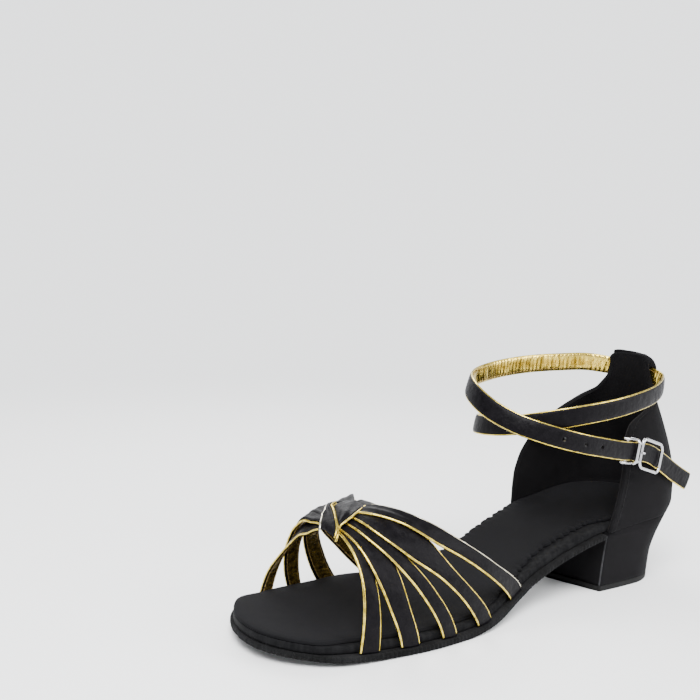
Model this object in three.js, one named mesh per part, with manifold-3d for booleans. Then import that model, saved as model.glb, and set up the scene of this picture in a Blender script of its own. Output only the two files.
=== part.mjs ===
// A left ballroom dance sandal: a knotted vamp of satin straps, a closed suede heel counter,
// a crossed ankle strap with a buckle, and a low block heel on a soft suede sole.
// Millimetres. +X points to the toe, +Y to the outer side of the left foot, +Z up.
// Sizes along the shoe count from the back of the seat. The last lines bring the origin to the
// middle of the footprint, on the floor.

import * as THREE from 'three';
import { mergeVertices } from 'three/addons/utils/BufferGeometryUtils.js';
import Module from 'manifold-3d';

const wasm = await Module();
wasm.setup();

// Last and sole
const length = 245; // back of the seat to the toe tip
const ballWidth = 80;
const waistWidth = 54;
const seatWidth = 61.5;
const toeRound = 29; // length of the rounding at the toe
const toeFullness = 2.2; // 2 is an ellipse, more is squarer
const heelLift = 31.4; // rise of the sole's lower face at the back of the seat
const toeSpring = 4;
const outsoleThickness = 2.6;
const outsoleRim = 1.1; // the outsole stands out past the upper
const footbedThickness = 3.4;
const sockThickness = 1.3;
const sockMargin = 2.2; // bare footbed around the sock lining
const outerWaistMargin = 6; // the same along the waist, on its two sides
const innerWaistMargin = 0.2;
const toeInset = 0.6; // the footbed's edge in from the upper's outline at the toe
const toeMargin = 0.7; // bare footbed around the sock lining at the toe
const clearance = 0.3; // between pieces that touch

// Heel
const breastReach = 66; // back of the seat to the heel breast
const breastSkew = 6; // the breast is turned: its inner corner lies this much further forward
const topPieceHeight = 2.6;

// Counter
const counterWall = 2;
const counterRise = 76; // seat to the top of the tab at the back
const loopWall = 1.4; // outer leather of the loop that holds the ankle strap
const loopSlack = 0.35; // extra room on each face of the strap in that loop
const loopTilt = 0.022; // the loop lies this share of the rise lower on the outer side, as the strap does

// Straps
const vampStrapThickness = 1.8;
const vampHeight = 90; // floor to the crest of the last where the foot leaves the vamp
const throatDrop = 4.6; // the front edge of the first inner strap hangs this much lower, over the toes
const ankleStrapWidth = 8.7;
const ankleStrapThickness = 1.9;
const ankleReach = 124; // back of the seat to the front of the ankle ring
const ankleHalf = 35; // half of the ankle ring's width
const ankleLeanBack = 21; // degrees that the strap leans in at its top, in front of the ankle
const punchRadius = 1;

// Buckle
const wireRadius = 0.8;
const windowLength = 18.5;
const windowHalf = 6.8;
const windowCorner = 2.5;
const windowDrop = 0.13; // the window leans down with the strap's tail, for each unit of its length
const keeperGap = 3; // the window's front bar to the keeper's bar, forward of it
const keeperReach = 8;
const armRadius = 0.65;
const prongRadius = 0.5;
const anchorWidth = 6.5;
const anchorThickness = 1.2;
const anchorUp = 0.43; // share of the counter's rise where the anchor is sewn on
const anchorSpan = [0.72, 0.82, 0.92]; // its stretch on the counter, as in counterFace

// Outline of the upper: half widths as shares of the named width, at shares of the length
const outlineTable = [
  { at: 0.0, width: seatWidth, lateral: 0.5, medial: 0.5 },
  { at: 0.141, width: seatWidth, lateral: 0.5, medial: 0.5 },
  { at: 0.268, width: seatWidth, lateral: 0.475, medial: 0.465 },
  { at: 0.434, width: waistWidth, lateral: 0.49, medial: 0.5 },
  { at: 0.61, width: ballWidth, lateral: 0.44, medial: 0.485 },
  { at: 0.707, width: ballWidth, lateral: 0.455, medial: 0.55 },
  { at: 0.824, width: ballWidth, lateral: 0.423, medial: 0.534 },
  { at: 0.922, width: ballWidth, lateral: 0.365, medial: 0.478 },
  { at: 1.0, width: ballWidth, lateral: 0.3, medial: 0.385 },
];

// Rise of the sole's lower face: shares of the heel lift and of the toe spring
const riseTable = [
  { at: 0.0, heel: 1.0, toe: 0 },
  { at: 0.122, heel: 0.97, toe: 0 },
  { at: 0.259, heel: 0.86, toe: 0 },
  { at: 0.356, heel: 0.66, toe: 0 },
  { at: 0.493, heel: 0.26, toe: 0 },
  { at: 0.59, heel: 0.05, toe: 0 },
  { at: 0.649, heel: 0, toe: 0 },
  { at: 0.746, heel: 0, toe: 0 },
  { at: 0.863, heel: 0, toe: 0.22 },
  { at: 1.0, heel: 0, toe: 1 },
];

// Heel block: half width as a share of the seat width, back as a share of the breast's reach
const heelTable = [
  { up: 0.0, half: 0.452, back: 0.142 },
  { up: 0.15, half: 0.455, back: 0.142 },
  { up: 0.4, half: 0.462, back: 0.136 },
  { up: 0.62, half: 0.472, back: 0.1 },
  { up: 0.82, half: 0.486, back: 0.048 },
  { up: 1.0, half: 0.5, back: 0 },
];

// Heel counter: half width as a share of the seat width; its back and the two front edges as
// shares of the breast's reach
const counterTable = [
  { up: 0.0, half: 0.5, back: 0.0, lateral: 0.955, medial: 1.045 },
  { up: 0.07, half: 0.5, back: -0.045, lateral: 0.92, medial: 1.05 },
  { up: 0.22, half: 0.492, back: -0.045, lateral: 0.865, medial: 1.055 },
  { up: 0.34, half: 0.472, back: -0.015, lateral: 0.83, medial: 1.03 },
  { up: 0.45, half: 0.445, back: 0.03, lateral: 0.8, medial: 0.95 },
  { up: 0.54, half: 0.41, back: 0.072, lateral: 0.765, medial: 0.84 },
  { up: 0.61, half: 0.372, back: 0.1, lateral: 0.69, medial: 0.72 },
  { up: 0.69, half: 0.325, back: 0.13, lateral: 0.45, medial: 0.53 },
  { up: 0.76, half: 0.285, back: 0.154, lateral: 0.265, medial: 0.36 },
  { up: 0.87, half: 0.26, back: 0.19, lateral: 0.235, medial: 0.3 },
  { up: 1.0, half: 0.26, back: 0.228, lateral: 0.265, medial: 0.323 },
];

// Loop of the tab, around the ankle strap: how far its two faces stand off the counter, from 0
// inside the counter's wall to 1 around the strap, at shares of the counter's rise
const loopTable = [
  { up: 0.766, inside: 0, outside: 0.05 },
  { up: 0.786, inside: 0, outside: 0.4 },
  { up: 0.796, inside: 0.6, outside: 0.8 },
  { up: 0.806, inside: 1, outside: 1 },
  { up: 0.87, inside: 1, outside: 1 },
  { up: 0.937, inside: 1, outside: 1 },
  { up: 0.947, inside: 0.6, outside: 0.8 },
  { up: 0.957, inside: 0, outside: 0.6 },
  { up: 0.975, inside: 0, outside: 0.1 },
];

// Last over the forefoot: crest height as a share of the vamp's height, and the crest's shift
// towards the inner side as a share of the ball width
const crestTable = [
  { at: 0.32, height: 1, shift: 0 },
  { at: 0.465, height: 0.85, shift: 0.02 },
  { at: 0.563, height: 0.76, shift: 0.035 },
  { at: 0.66, height: 0.674, shift: 0.06 },
  { at: 0.76, height: 0.576, shift: 0.085 },
  { at: 0.828, height: 0.51, shift: 0.095 },
  { at: 0.905, height: 0.41, shift: 0.1 },
  { at: 1.0, height: 0.28, shift: 0.1 },
];
// Fullness of the last's two sides: 1 is an ellipse, less is squarer
const lateralFullness = 0.82;
const medialFullness = 1.16;

// Vamp straps: front and rear edge, as shares of the length, at angles up from the sole edge, and
// how far the strap lies off the last at the knot, in strap thicknesses.
// Each strap runs from one side of the sole over the knot's bundle to the other.
const strapAngles = [0, 20, 40, 60, 82];
const lateralStraps = [
  { front: [0.869, 0.859, 0.85, 0.844, 0.84], rear: [0.833, 0.829, 0.825, 0.82, 0.812], lift: 0 },
  { front: [0.792, 0.816, 0.829, 0.834, 0.839], rear: [0.755, 0.781, 0.8, 0.808, 0.804], lift: 0.17 },
  { front: [0.706, 0.753, 0.79, 0.814, 0.826], rear: [0.673, 0.724, 0.761, 0.784, 0.792], lift: 0.33 },
  { front: [0.62, 0.698, 0.763, 0.796, 0.812], rear: [0.584, 0.663, 0.72, 0.763, 0.776], lift: 0.5 },
  { front: [0.522, 0.622, 0.706, 0.753, 0.8], rear: [0.482, 0.586, 0.665, 0.718, 0.759], lift: 0.67 },
];
const medialStraps = [
  { front: [0.873, 0.865, 0.857, 0.849, 0.844], rear: [0.845, 0.837, 0.828, 0.822, 0.812], lift: 0.6 },
  { front: [0.8, 0.82, 0.833, 0.837, 0.839], rear: [0.771, 0.788, 0.802, 0.808, 0.804], lift: 1.9 },
  { front: [0.727, 0.765, 0.796, 0.816, 0.826], rear: [0.685, 0.727, 0.763, 0.786, 0.792], lift: 2.2 },
  { front: [0.618, 0.691, 0.757, 0.797, 0.812], rear: [0.582, 0.654, 0.72, 0.764, 0.776], lift: 1.9 },
  { front: [0.523, 0.614, 0.7, 0.755, 0.8], rear: [0.485, 0.578, 0.66, 0.717, 0.759], lift: 1.4 },
];
const strapReach = 96; // degrees up from the sole edge to each strap's end in the knot

// How the lifts of the straps grow up each side, and how the first inner strap's drop does, as
// shares of their most
const gatherTable = [
  { angle: 0, lateral: 0, medial: 0, drop: 0 },
  { angle: 20, lateral: 0, medial: 0, drop: 0.2 },
  { angle: 40, lateral: 0.2, medial: 0.1, drop: 0.78 },
  { angle: 55, lateral: 0.65, medial: 0.5, drop: 1 },
  { angle: 70, lateral: 0.97, medial: 1, drop: 0.98 },
  { angle: 82, lateral: 1, medial: 0.95, drop: 0.7 },
  { angle: 96, lateral: 1, medial: 0.7, drop: 0.3 },
];

const knotDepth = 0.4; // the knot's inner face, off the last
const bundleHollow = 0.2; // a strap's inner face lifts this share of its outer one: the rest is folds

// Bands of the knot, which wrap the bundle from front to back: at shares of the length, the angles
// of their outer and inner edges over the last, and how far they stand off it in strap thicknesses
const knotBands = [
  [
    { at: 0.748, lateral: 98, medial: 112, off: 1.7 },
    { at: 0.765, lateral: 98, medial: 111, off: 2.8 },
    { at: 0.785, lateral: 97, medial: 108, off: 3.3 },
    { at: 0.802, lateral: 94.6, medial: 104, off: 3.5 },
    { at: 0.816, lateral: 89.8, medial: 98.5, off: 3.45 },
    { at: 0.833, lateral: 81.8, medial: 91, off: 3.3 },
    { at: 0.849, lateral: 72.2, medial: 87, off: 3 },
    { at: 0.862, lateral: 67, medial: 82.5, off: 2.3 },
  ],
  [
    { at: 0.752, lateral: 85, medial: 100, off: 2 },
    { at: 0.77, lateral: 83, medial: 99, off: 2.9 },
    { at: 0.789, lateral: 80.2, medial: 97, off: 3.25 },
    { at: 0.803, lateral: 78.2, medial: 95, off: 3.3 },
    { at: 0.816, lateral: 76.6, medial: 90, off: 3.2 },
    { at: 0.839, lateral: 75.9, medial: 80, off: 2.8 },
  ],
];

// Ankle strap, from its end inside the counter to its free tail: along as a share of the ring's
// reach, side as a share of its half width, rise as a share of the counter's rise over the seat
const ankleInnerRound = [
  { along: 0.57, side: -0.655, rise: 0.515 },
  { along: 0.69, side: -0.725, rise: 0.54 },
  { along: 0.8, side: -0.7, rise: 0.562 },
  { along: 0.87, side: -0.54, rise: 0.58 },
  { along: 0.914, side: -0.28, rise: 0.594 },
  { along: 0.925, side: 0, rise: 0.61 },
  { along: 0.918, side: 0.26, rise: 0.634 },
  { along: 0.886, side: 0.51, rise: 0.664 },
  { along: 0.825, side: 0.74, rise: 0.697 },
  { along: 0.742, side: 0.905, rise: 0.725 },
  { along: 0.605, side: 0.98, rise: 0.75 },
  { along: 0.46, side: 0.955, rise: 0.775 },
  { along: 0.323, side: 0.85, rise: 0.798 },
  { along: 0.22, side: 0.695, rise: 0.82 },
  { along: 0.15, side: 0.515, rise: 0.837 },
];
const ankleOuterRound = [
  { along: 0.22, side: -0.62, rise: 0.913 },
  { along: 0.323, side: -0.8, rise: 0.908 },
  { along: 0.468, side: -0.93, rise: 0.898 },
  { along: 0.63, side: -0.945, rise: 0.88 },
  { along: 0.775, side: -0.845, rise: 0.858 },
  { along: 0.89, side: -0.63, rise: 0.844 },
  { along: 0.965, side: -0.36, rise: 0.823 },
  { along: 1.002, side: -0.07, rise: 0.782 },
  { along: 1.004, side: 0.2, rise: 0.731 },
  { along: 0.972, side: 0.5, rise: 0.675 },
  { along: 0.922, side: 0.735, rise: 0.637 },
  { along: 0.848, side: 0.9, rise: 0.599 },
  { along: 0.752, side: 0.985, rise: 0.56 },
  { along: 0.65, side: 1, rise: 0.525 },
  { along: 0.54, side: 0.985, rise: 0.489 },
  { along: 0.44, side: 0.955, rise: 0.463 },
  { along: 0.35, side: 0.926, rise: 0.432 },
  { along: 0.25, side: 0.9, rise: 0.358 },
  { along: 0.15, side: 0.882, rise: 0.27 },
  { along: 0.055, side: 0.87, rise: 0.196 },
];
// Where it lies against the counter: sewn inside the inner front edge, and through the tab's loop
const ankleSewnEnd = [
  { across: -0.72, up: 0.47 },
  { across: -0.84, up: 0.48 },
  { across: -0.96, up: 0.495 },
];
const ankleInLoop = [
  { across: 0.95, up: 0.85 },
  { across: 0.5, up: 0.859 },
  { across: 0, up: 0.869 },
  { across: -0.5, up: 0.88 },
  { across: -0.95, up: 0.894 },
];
const ankleSteps = 104;
const punchDistances = [81, 92, 104]; // free holes, from the tail's end
const buckleDistance = 50; // the buckle's bar and the hole that its prong is in

// Smooth curve through one column of a table that never overshoots its rows.
function curve(rows, column, key = 'at') {
  const x = rows.map((row) => row[key]);
  const y = rows.map((row) => row[column]);
  const last = rows.length - 1;
  const rise = y.slice(1).map((value, i) => (value - y[i]) / (x[i + 1] - x[i]));
  const slope = y.map((_, i) => {
    if (i === 0) return rise[0];
    if (i === last) return rise[last - 1];
    if (rise[i - 1] * rise[i] <= 0) return 0;
    return (2 * rise[i - 1] * rise[i]) / (rise[i - 1] + rise[i]);
  });
  return (at) => {
    const value = THREE.MathUtils.clamp(at, x[0], x[last]);
    let i = 0;
    while (i < last - 1 && value > x[i + 1]) i += 1;
    const step = x[i + 1] - x[i];
    const t = (value - x[i]) / step;
    const ease = t * t * (3 - 2 * t);
    const leave = slope[i] * t * (1 - t) * (1 - t);
    const arrive = slope[i + 1] * t * t * (1 - t);
    return y[i] * (1 - ease) + y[i + 1] * ease + step * (leave - arrive);
  };
}

// Evenly spaced shares from 0 to 1.
function shares(count) {
  return Array.from({ length: count + 1 }, (_, i) => i / count);
}

// Outline and heights of the sole
const sizedOutline = outlineTable.map((row) => ({
  at: row.at,
  lateral: row.width * row.lateral,
  medial: row.width * row.medial,
}));
const sideCurve = { 1: curve(sizedOutline, 'lateral'), '-1': curve(sizedOutline, 'medial') };
const heelRise = curve(riseTable, 'heel');
const toeRise = curve(riseTable, 'toe');
const seatRadius = seatWidth / 2;

function halfWidth(side, x) {
  const heelEnd = Math.min(x / seatRadius, 1);
  const toeEnd = Math.min((length - x) / toeRound, 1);
  const round = Math.sqrt(Math.max(1 - (1 - heelEnd) ** 2, 0));
  const blunt = Math.max(1 - (1 - toeEnd) ** toeFullness, 0) ** (1 / toeFullness);
  return sideCurve[side](x / length) * round * blunt;
}

function treadHeight(x) {
  return heelLift * heelRise(x / length) + toeSpring * toeRise(x / length);
}

const outsoleTop = (x) => treadHeight(x) + outsoleThickness;
const footbedBase = (x) => outsoleTop(x) + clearance;
const footbedTop = (x) => footbedBase(x) + footbedThickness;
const sockBase = (x) => footbedTop(x) + clearance;
const seatHeight = footbedBase(0);
const tabTop = seatHeight + counterRise;
const footbedInset = counterWall + clearance;
const breastAt = (side) => breastReach - (side * breastSkew) / 2;
// The footbed's edge in from the outline, and the bare footbed around the sock, where they change
const toeShare = (x) => THREE.MathUtils.smoothstep(x / length, 0.885, 0.945);
const edgeInset = (x) => THREE.MathUtils.lerp(footbedInset, toeInset, toeShare(x));

function bareEdge(side, x) {
  const share = x / length;
  const waist = THREE.MathUtils.smoothstep(share, 0.22, 0.29) - THREE.MathUtils.smoothstep(share, 0.4, 0.5);
  const margin = THREE.MathUtils.lerp(sockMargin, toeMargin, toeShare(x));
  const waistMargin = side > 0 ? outerWaistMargin : innerWaistMargin;
  return margin + (waistMargin - sockMargin) * waist;
}

// One closed geometry from points and faces, its faces pointing out and its doubled points merged.
function closedGeometry(points, faces) {
  let volume = 0;
  for (const [a, b, c] of faces) {
    volume += points[a].dot(new THREE.Vector3().crossVectors(points[b], points[c]));
  }
  const ordered = volume < 0 ? faces.map(([a, b, c]) => [a, c, b]) : faces;
  const raw = new THREE.BufferGeometry();
  raw.setAttribute('position', new THREE.Float32BufferAttribute(points.flatMap((p) => p.toArray()), 3));
  raw.setIndex(ordered.flat());
  const merged = mergeVertices(raw, 1e-4);
  const index = merged.getIndex().array;
  const kept = [];
  for (let i = 0; i < index.length; i += 3) {
    const [a, b, c] = index.slice(i, i + 3);
    if (a !== b && b !== c && c !== a) kept.push(a, b, c);
  }
  merged.setIndex(kept);
  merged.computeVertexNormals();
  return merged;
}

// Two faces for a quad of point numbers.
function quad(a, b, c, d) {
  return [[a, b, c], [a, c, d]];
}

// A solid of stacked rings. Each ring runs along one side and back along the other, so that its
// two caps are strips across it.
function loft(rings) {
  const count = rings[0].length;
  const faces = [];
  for (let r = 0; r < rings.length - 1; r += 1) {
    for (let i = 0; i < count; i += 1) {
      const next = (i + 1) % count;
      const here = r * count;
      faces.push(...quad(here + i, here + next, here + count + next, here + count + i));
    }
  }
  const top = (rings.length - 1) * count;
  for (let i = 0; i < count / 2 - 1; i += 1) {
    const opposite = count - 1 - i;
    faces.push(...quad(opposite, opposite - 1, i + 1, i));
    faces.push(...quad(top + i, top + i + 1, top + opposite - 1, top + opposite));
  }
  return closedGeometry(rings.flat(), faces);
}

// A wall between two grids of points, with its four edges closed.
function wall(outer, inner) {
  const rows = outer.length;
  const columns = outer[0].length;
  const side = rows * columns;
  const at = (layer, i, j) => layer * side + i * columns + j;
  const faces = [];
  for (let i = 0; i < rows - 1; i += 1) {
    for (let j = 0; j < columns - 1; j += 1) {
      faces.push(...quad(at(0, i, j), at(0, i + 1, j), at(0, i + 1, j + 1), at(0, i, j + 1)));
      faces.push(...quad(at(1, i, j), at(1, i, j + 1), at(1, i + 1, j + 1), at(1, i + 1, j)));
    }
  }
  for (let j = 0; j < columns - 1; j += 1) {
    faces.push(...quad(at(0, 0, j), at(0, 0, j + 1), at(1, 0, j + 1), at(1, 0, j)));
    const end = rows - 1;
    faces.push(...quad(at(0, end, j), at(1, end, j), at(1, end, j + 1), at(0, end, j + 1)));
  }
  for (let i = 0; i < rows - 1; i += 1) {
    faces.push(...quad(at(0, i, 0), at(1, i, 0), at(1, i + 1, 0), at(0, i + 1, 0)));
    const end = columns - 1;
    faces.push(...quad(at(0, i, end), at(0, i + 1, end), at(1, i + 1, end), at(1, i, end)));
  }
  return closedGeometry([...outer.flat(), ...inner.flat()], faces);
}

// A bar of one convex section along a path. The section's first direction follows the given
// directions, one for each point, and its second stands square to it and to the path.
function bar(path, directions, section, isLoop = false) {
  const count = path.length;
  const rings = path.map((point, i) => {
    const before = path[isLoop ? (i + count - 1) % count : Math.max(i - 1, 0)];
    const after = path[isLoop ? (i + 1) % count : Math.min(i + 1, count - 1)];
    const tangent = after.clone().sub(before).normalize();
    const width = directions[i].clone().addScaledVector(tangent, -directions[i].dot(tangent));
    width.normalize();
    const depth = new THREE.Vector3().crossVectors(tangent, width);
    return section.map(([w, d]) => point.clone().addScaledVector(width, w).addScaledVector(depth, d));
  });
  const sides = section.length;
  const faces = [];
  const spans = isLoop ? count : count - 1;
  for (let r = 0; r < spans; r += 1) {
    for (let i = 0; i < sides; i += 1) {
      const here = r * sides;
      const there = ((r + 1) % count) * sides;
      const next = (i + 1) % sides;
      faces.push(...quad(here + i, here + next, there + next, there + i));
    }
  }
  if (!isLoop) {
    const end = (count - 1) * sides;
    for (let i = 1; i < sides - 1; i += 1) {
      faces.push([0, i + 1, i], [end, end + i, end + i + 1]);
    }
  }
  return closedGeometry(rings.flat(), faces);
}

function roundSection(radius, sides = 8) {
  return shares(sides).slice(0, sides).map((share) => {
    const angle = 2 * Math.PI * share;
    return [radius * Math.cos(angle), radius * Math.sin(angle)];
  });
}

function strapSection(width, thickness) {
  const half = width / 2;
  const face = thickness / 2;
  const edge = thickness / 4;
  const shoulder = half - edge;
  return [
    [half, edge], [shoulder, face], [-shoulder, face], [-half, edge],
    [-half, -edge], [-shoulder, -face], [shoulder, -face], [half, -edge],
  ];
}

// Booleans
function toSolid(geometry) {
  const bare = geometry.clone();
  bare.deleteAttribute('normal');
  bare.deleteAttribute('uv');
  const merged = mergeVertices(bare, 1e-4);
  return new wasm.Manifold(new wasm.Mesh({
    numProp: 3,
    vertProperties: new Float32Array(merged.getAttribute('position').array),
    triVerts: new Uint32Array(merged.getIndex().array),
  }));
}

function fromSolid(solid) {
  const mesh = solid.getMesh();
  const geometry = new THREE.BufferGeometry();
  geometry.setAttribute('position', new THREE.BufferAttribute(new Float32Array(mesh.vertProperties), 3));
  geometry.setIndex(new THREE.BufferAttribute(new Uint32Array(mesh.triVerts), 1));
  geometry.computeVertexNormals();
  return geometry;
}

function join(geometries) {
  return fromSolid(geometries.map(toSolid).reduce((whole, part) => whole.add(part)));
}

function cut(geometry, tools) {
  return fromSolid(tools.map(toSolid).reduce((whole, tool) => whole.subtract(tool), toSolid(geometry)));
}

// Rings for the sole's layers: the outline between two ends, moved in by an inset that follows x.
function outlineRing(start, end, inset, height, count = 28) {
  const plan = (side) => shares(count).map((share) => {
    const from = start(side);
    const isStraight = from > 0;
    const angle = isStraight ? (1 + share) * 90 : share * 180;
    const spread = -Math.cos(THREE.MathUtils.degToRad(angle)) + (isStraight ? 0 : 1);
    const x = from + ((end - from) * spread) / (isStraight ? 1 : 2);
    return new THREE.Vector2(x, side * halfWidth(side, x));
  });
  const loop = [...plan(1), ...plan(-1).reverse()];
  const centre = new THREE.Vector2((start(1) + end) / 2, 0);
  return loop.map((point, i) => {
    const before = neighbour(loop, i, -1);
    const after = neighbour(loop, i, 1);
    const tangent = after.clone().sub(before).normalize();
    const inward = new THREE.Vector2(tangent.y, -tangent.x);
    if (inward.dot(centre.clone().sub(point)) < 0) inward.negate();
    const moved = point.clone().addScaledVector(inward, inset(point.x, Math.sign(point.y)));
    return new THREE.Vector3(moved.x, moved.y, height(moved.x));
  });
}

// The next point of a loop, past any that lies on the same spot.
function neighbour(loop, from, step) {
  let i = from;
  do {
    i = (i + step + loop.length) % loop.length;
  } while (loop[i].distanceTo(loop[from]) < 1e-6 && i !== from);
  return loop[i];
}

// Outsole, from the toe to the heel breast
function outsoleGeometry() {
  const edge = 0.5;
  const start = (side) => breastAt(side) + clearance + outsoleRim;
  const rows = [
    { inset: edge, up: 0 },
    { inset: 0, up: 0.25 },
    { inset: 0, up: 0.75 },
    { inset: edge, up: 1 },
  ];
  return loft(rows.map((row) => outlineRing(start, length, () => row.inset - outsoleRim, (x) => (
    treadHeight(x) + outsoleThickness * row.up
  ))));
}

// Footbed: the stiffened platform, wrapped in cloth with a rounded edge
function footbedGeometry() {
  const rows = [
    { inset: 0.6, up: 0 },
    { inset: 0, up: 0.2 },
    { inset: 0, up: 0.65 },
    { inset: 0.5, up: 0.88 },
    { inset: 1.4, up: 1 },
  ];
  const inset = (row) => (x) => edgeInset(x) + row.inset;
  return loft(rows.map((row) => outlineRing(() => 0, length, inset(row), (x) => (
    footbedBase(x) + footbedThickness * row.up
  ))));
}

// Sock lining: the soft suede sheet that the foot lies on
function sockGeometry() {
  const rows = [
    { inset: 0, up: 0 },
    { inset: 0, up: 0.6 },
    { inset: 0.8, up: 1 },
  ];
  const inset = (row) => (x, side) => edgeInset(x) + bareEdge(side, x) + row.inset;
  return loft(rows.map((row) => outlineRing(() => 0, length, inset(row), (x) => (
    sockBase(x) + sockThickness * row.up
  ))));
}

// Half width of a section whose round end is scaled to its own width.
function seatHalf(side, fromBack, scale) {
  const round = scale * seatRadius;
  const reach = fromBack < round ? fromBack / scale : seatRadius + fromBack - round;
  return scale * halfWidth(side, reach);
}

// Heel block and its top piece: rings between two shares of the heel's height
const heelHalf = curve(heelTable, 'half', 'up');
const heelBack = curve(heelTable, 'back', 'up');

function heelRing(height, count = 18) {
  const up = Math.min(height / seatHeight, 1);
  const scale = 2 * heelHalf(up);
  const back = breastReach * heelBack(up);
  const corner = 1.2;
  const plan = (side) => {
    const front = breastAt(side);
    const points = shares(count).map((share) => {
      const x = back + (front - corner - back) * (1 - Math.cos((share * Math.PI) / 2));
      return new THREE.Vector3(x, side * seatHalf(side, x - back, scale), height);
    });
    const last = points[count];
    return [...points, new THREE.Vector3(front, last.y - side * corner, height)];
  };
  return [...plan(1), ...plan(-1).reverse()];
}

function heelGeometry() {
  const base = topPieceHeight + clearance;
  const top = heelRing(seatHeight).map((point) => new THREE.Vector3(point.x, point.y, outsoleTop(point.x)));
  const lowest = Math.min(...top.map((point) => point.z));
  const levels = [0, 0.25, 0.5, 0.75, 0.95];
  return loft([...levels.map((share) => heelRing(THREE.MathUtils.lerp(base, lowest, share))), top]);
}

function topPieceGeometry() {
  return loft([heelRing(0), heelRing(topPieceHeight)]);
}

// Counter
const counterHalf = curve(counterTable, 'half', 'up');
const counterBack = curve(counterTable, 'back', 'up');
const counterFront = { 1: curve(counterTable, 'lateral', 'up'), '-1': curve(counterTable, 'medial', 'up') };

function arcLength(fromBack, round) {
  if (fromBack < round) return round * Math.acos(1 - fromBack / round);
  return (round * Math.PI) / 2 + fromBack - round;
}

function alongArc(arc, round) {
  const quarter = (round * Math.PI) / 2;
  return arc < quarter ? round * (1 - Math.cos(arc / round)) : round + arc - quarter;
}

// A point of the counter's outer face: across runs from -1 at the inner side's front edge over 0 at
// the back to 1 at the outer side's front edge.
function counterFace(across, up) {
  const side = across < 0 ? -1 : 1;
  const scale = 2 * counterHalf(up);
  const round = scale * seatRadius;
  const back = breastReach * counterBack(up);
  const front = breastReach * counterFront[side](up);
  const fromBack = alongArc(Math.abs(across) * arcLength(front - back, round), round);
  const x = back + fromBack;
  return new THREE.Vector3(
    x,
    side * seatHalf(side, fromBack, scale),
    THREE.MathUtils.lerp(footbedBase(x), tabTop, up),
  );
}

function counterSlope(across, up) {
  const step = 1e-3;
  const above = counterFace(across, Math.min(up + step, 1));
  return above.sub(counterFace(across, Math.max(up - step, 0))).normalize();
}

function counterPoint(across, up, off) {
  const step = 1e-3;
  const along = counterFace(across + step, up).sub(counterFace(across - step, up));
  const outward = along.cross(counterSlope(across, up)).normalize();
  outward.multiplyScalar(outward.y * across + (across === 0 ? -outward.x : 0) < 0 ? -1 : 1);
  return counterFace(across, up).addScaledVector(outward, off);
}

function counterGeometry() {
  const columns = shares(30).map((share) => 2 * share - 1);
  const rows = shares(16);
  const layer = (off) => rows.map((up) => columns.map((across) => {
    const point = counterPoint(across, up, off);
    if (up === 0) point.z = footbedBase(point.x);
    return point;
  }));
  const loopSpan = [-0.96, -0.7, -0.35, 0, 0.35, 0.7, 0.96];
  const room = ankleStrapThickness + 2 * (clearance + loopSlack);
  const faces = {
    inside: (share) => THREE.MathUtils.lerp(-counterWall / 2, room, share),
    outside: (share) => THREE.MathUtils.lerp(loopWall / 4, room + loopWall, share),
  };
  const loopLayer = (face) => loopTable.map((row) => loopSpan.map((across) => (
    counterPoint(across, row.up - loopTilt * across, faces[face](row[face]))
  )));
  return join([wall(layer(0), layer(-counterWall)), wall(loopLayer('outside'), loopLayer('inside'))]);
}

// Vamp
const crestHeight = curve(crestTable, 'height');
const crestShift = curve(crestTable, 'shift');

// A point over the forefoot: angle runs from 0 at the outer edge of the sole over the crest to 180
// degrees at its inner edge.
function lastPoint(x, angle, off) {
  const turn = THREE.MathUtils.degToRad(THREE.MathUtils.clamp(angle, 0, 180));
  const lateral = halfWidth(1, x) - footbedInset + clearance + off;
  const medial = -(halfWidth(-1, x) - footbedInset + clearance + off);
  const middle = (lateral + medial) / 2;
  const reach = (lateral - medial) / 2;
  const base = footbedBase(x);
  const crest = vampHeight * crestHeight(x / length) - base + off;
  const cosine = Math.cos(turn);
  const sine = Math.sin(turn);
  const lean = (-crestShift(x / length) * ballWidth - middle) * sine ** 1.5;
  const fullness = cosine < 0 ? medialFullness : lateralFullness;
  return new THREE.Vector3(
    x,
    middle + reach * Math.sign(cosine) * Math.abs(cosine) ** fullness + lean,
    base + crest * sine ** fullness,
  );
}

function strapEdge(strap, edge) {
  return curve(strapAngles.map((angle, i) => ({ angle, x: strap[edge][i] * length })), 'x', 'angle');
}

const gather = {
  1: curve(gatherTable, 'lateral', 'angle'),
  '-1': curve(gatherTable, 'medial', 'angle'),
};
const drop = curve(gatherTable, 'drop', 'angle');

function vampStrap(index, side) {
  const strap = (side > 0 ? lateralStraps : medialStraps)[index];
  const front = strapEdge(strap, 'front');
  const rear = strapEdge(strap, 'rear');
  const isThroat = side < 0 && index === 0;
  const rows = shares(15).map((share) => strapReach * share ** 1.25);
  const across = [0, 0.12, 0.5, 0.88, 1];
  const crown = [0.55, 1, 1, 1, 0.55];
  const layer = (isOuter) => rows.map((angle) => across.map((share, j) => {
    const x = THREE.MathUtils.lerp(rear(angle), front(angle), share);
    const lift = strap.lift * vampStrapThickness * gather[side](angle);
    const hang = isThroat ? throatDrop * share * drop(angle) : 0;
    const off = isOuter ? lift + vampStrapThickness * crown[j] : lift * bundleHollow;
    return lastPoint(x, side > 0 ? angle : 180 - angle, off - hang);
  }));
  return wall(layer(true), layer(false));
}

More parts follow.
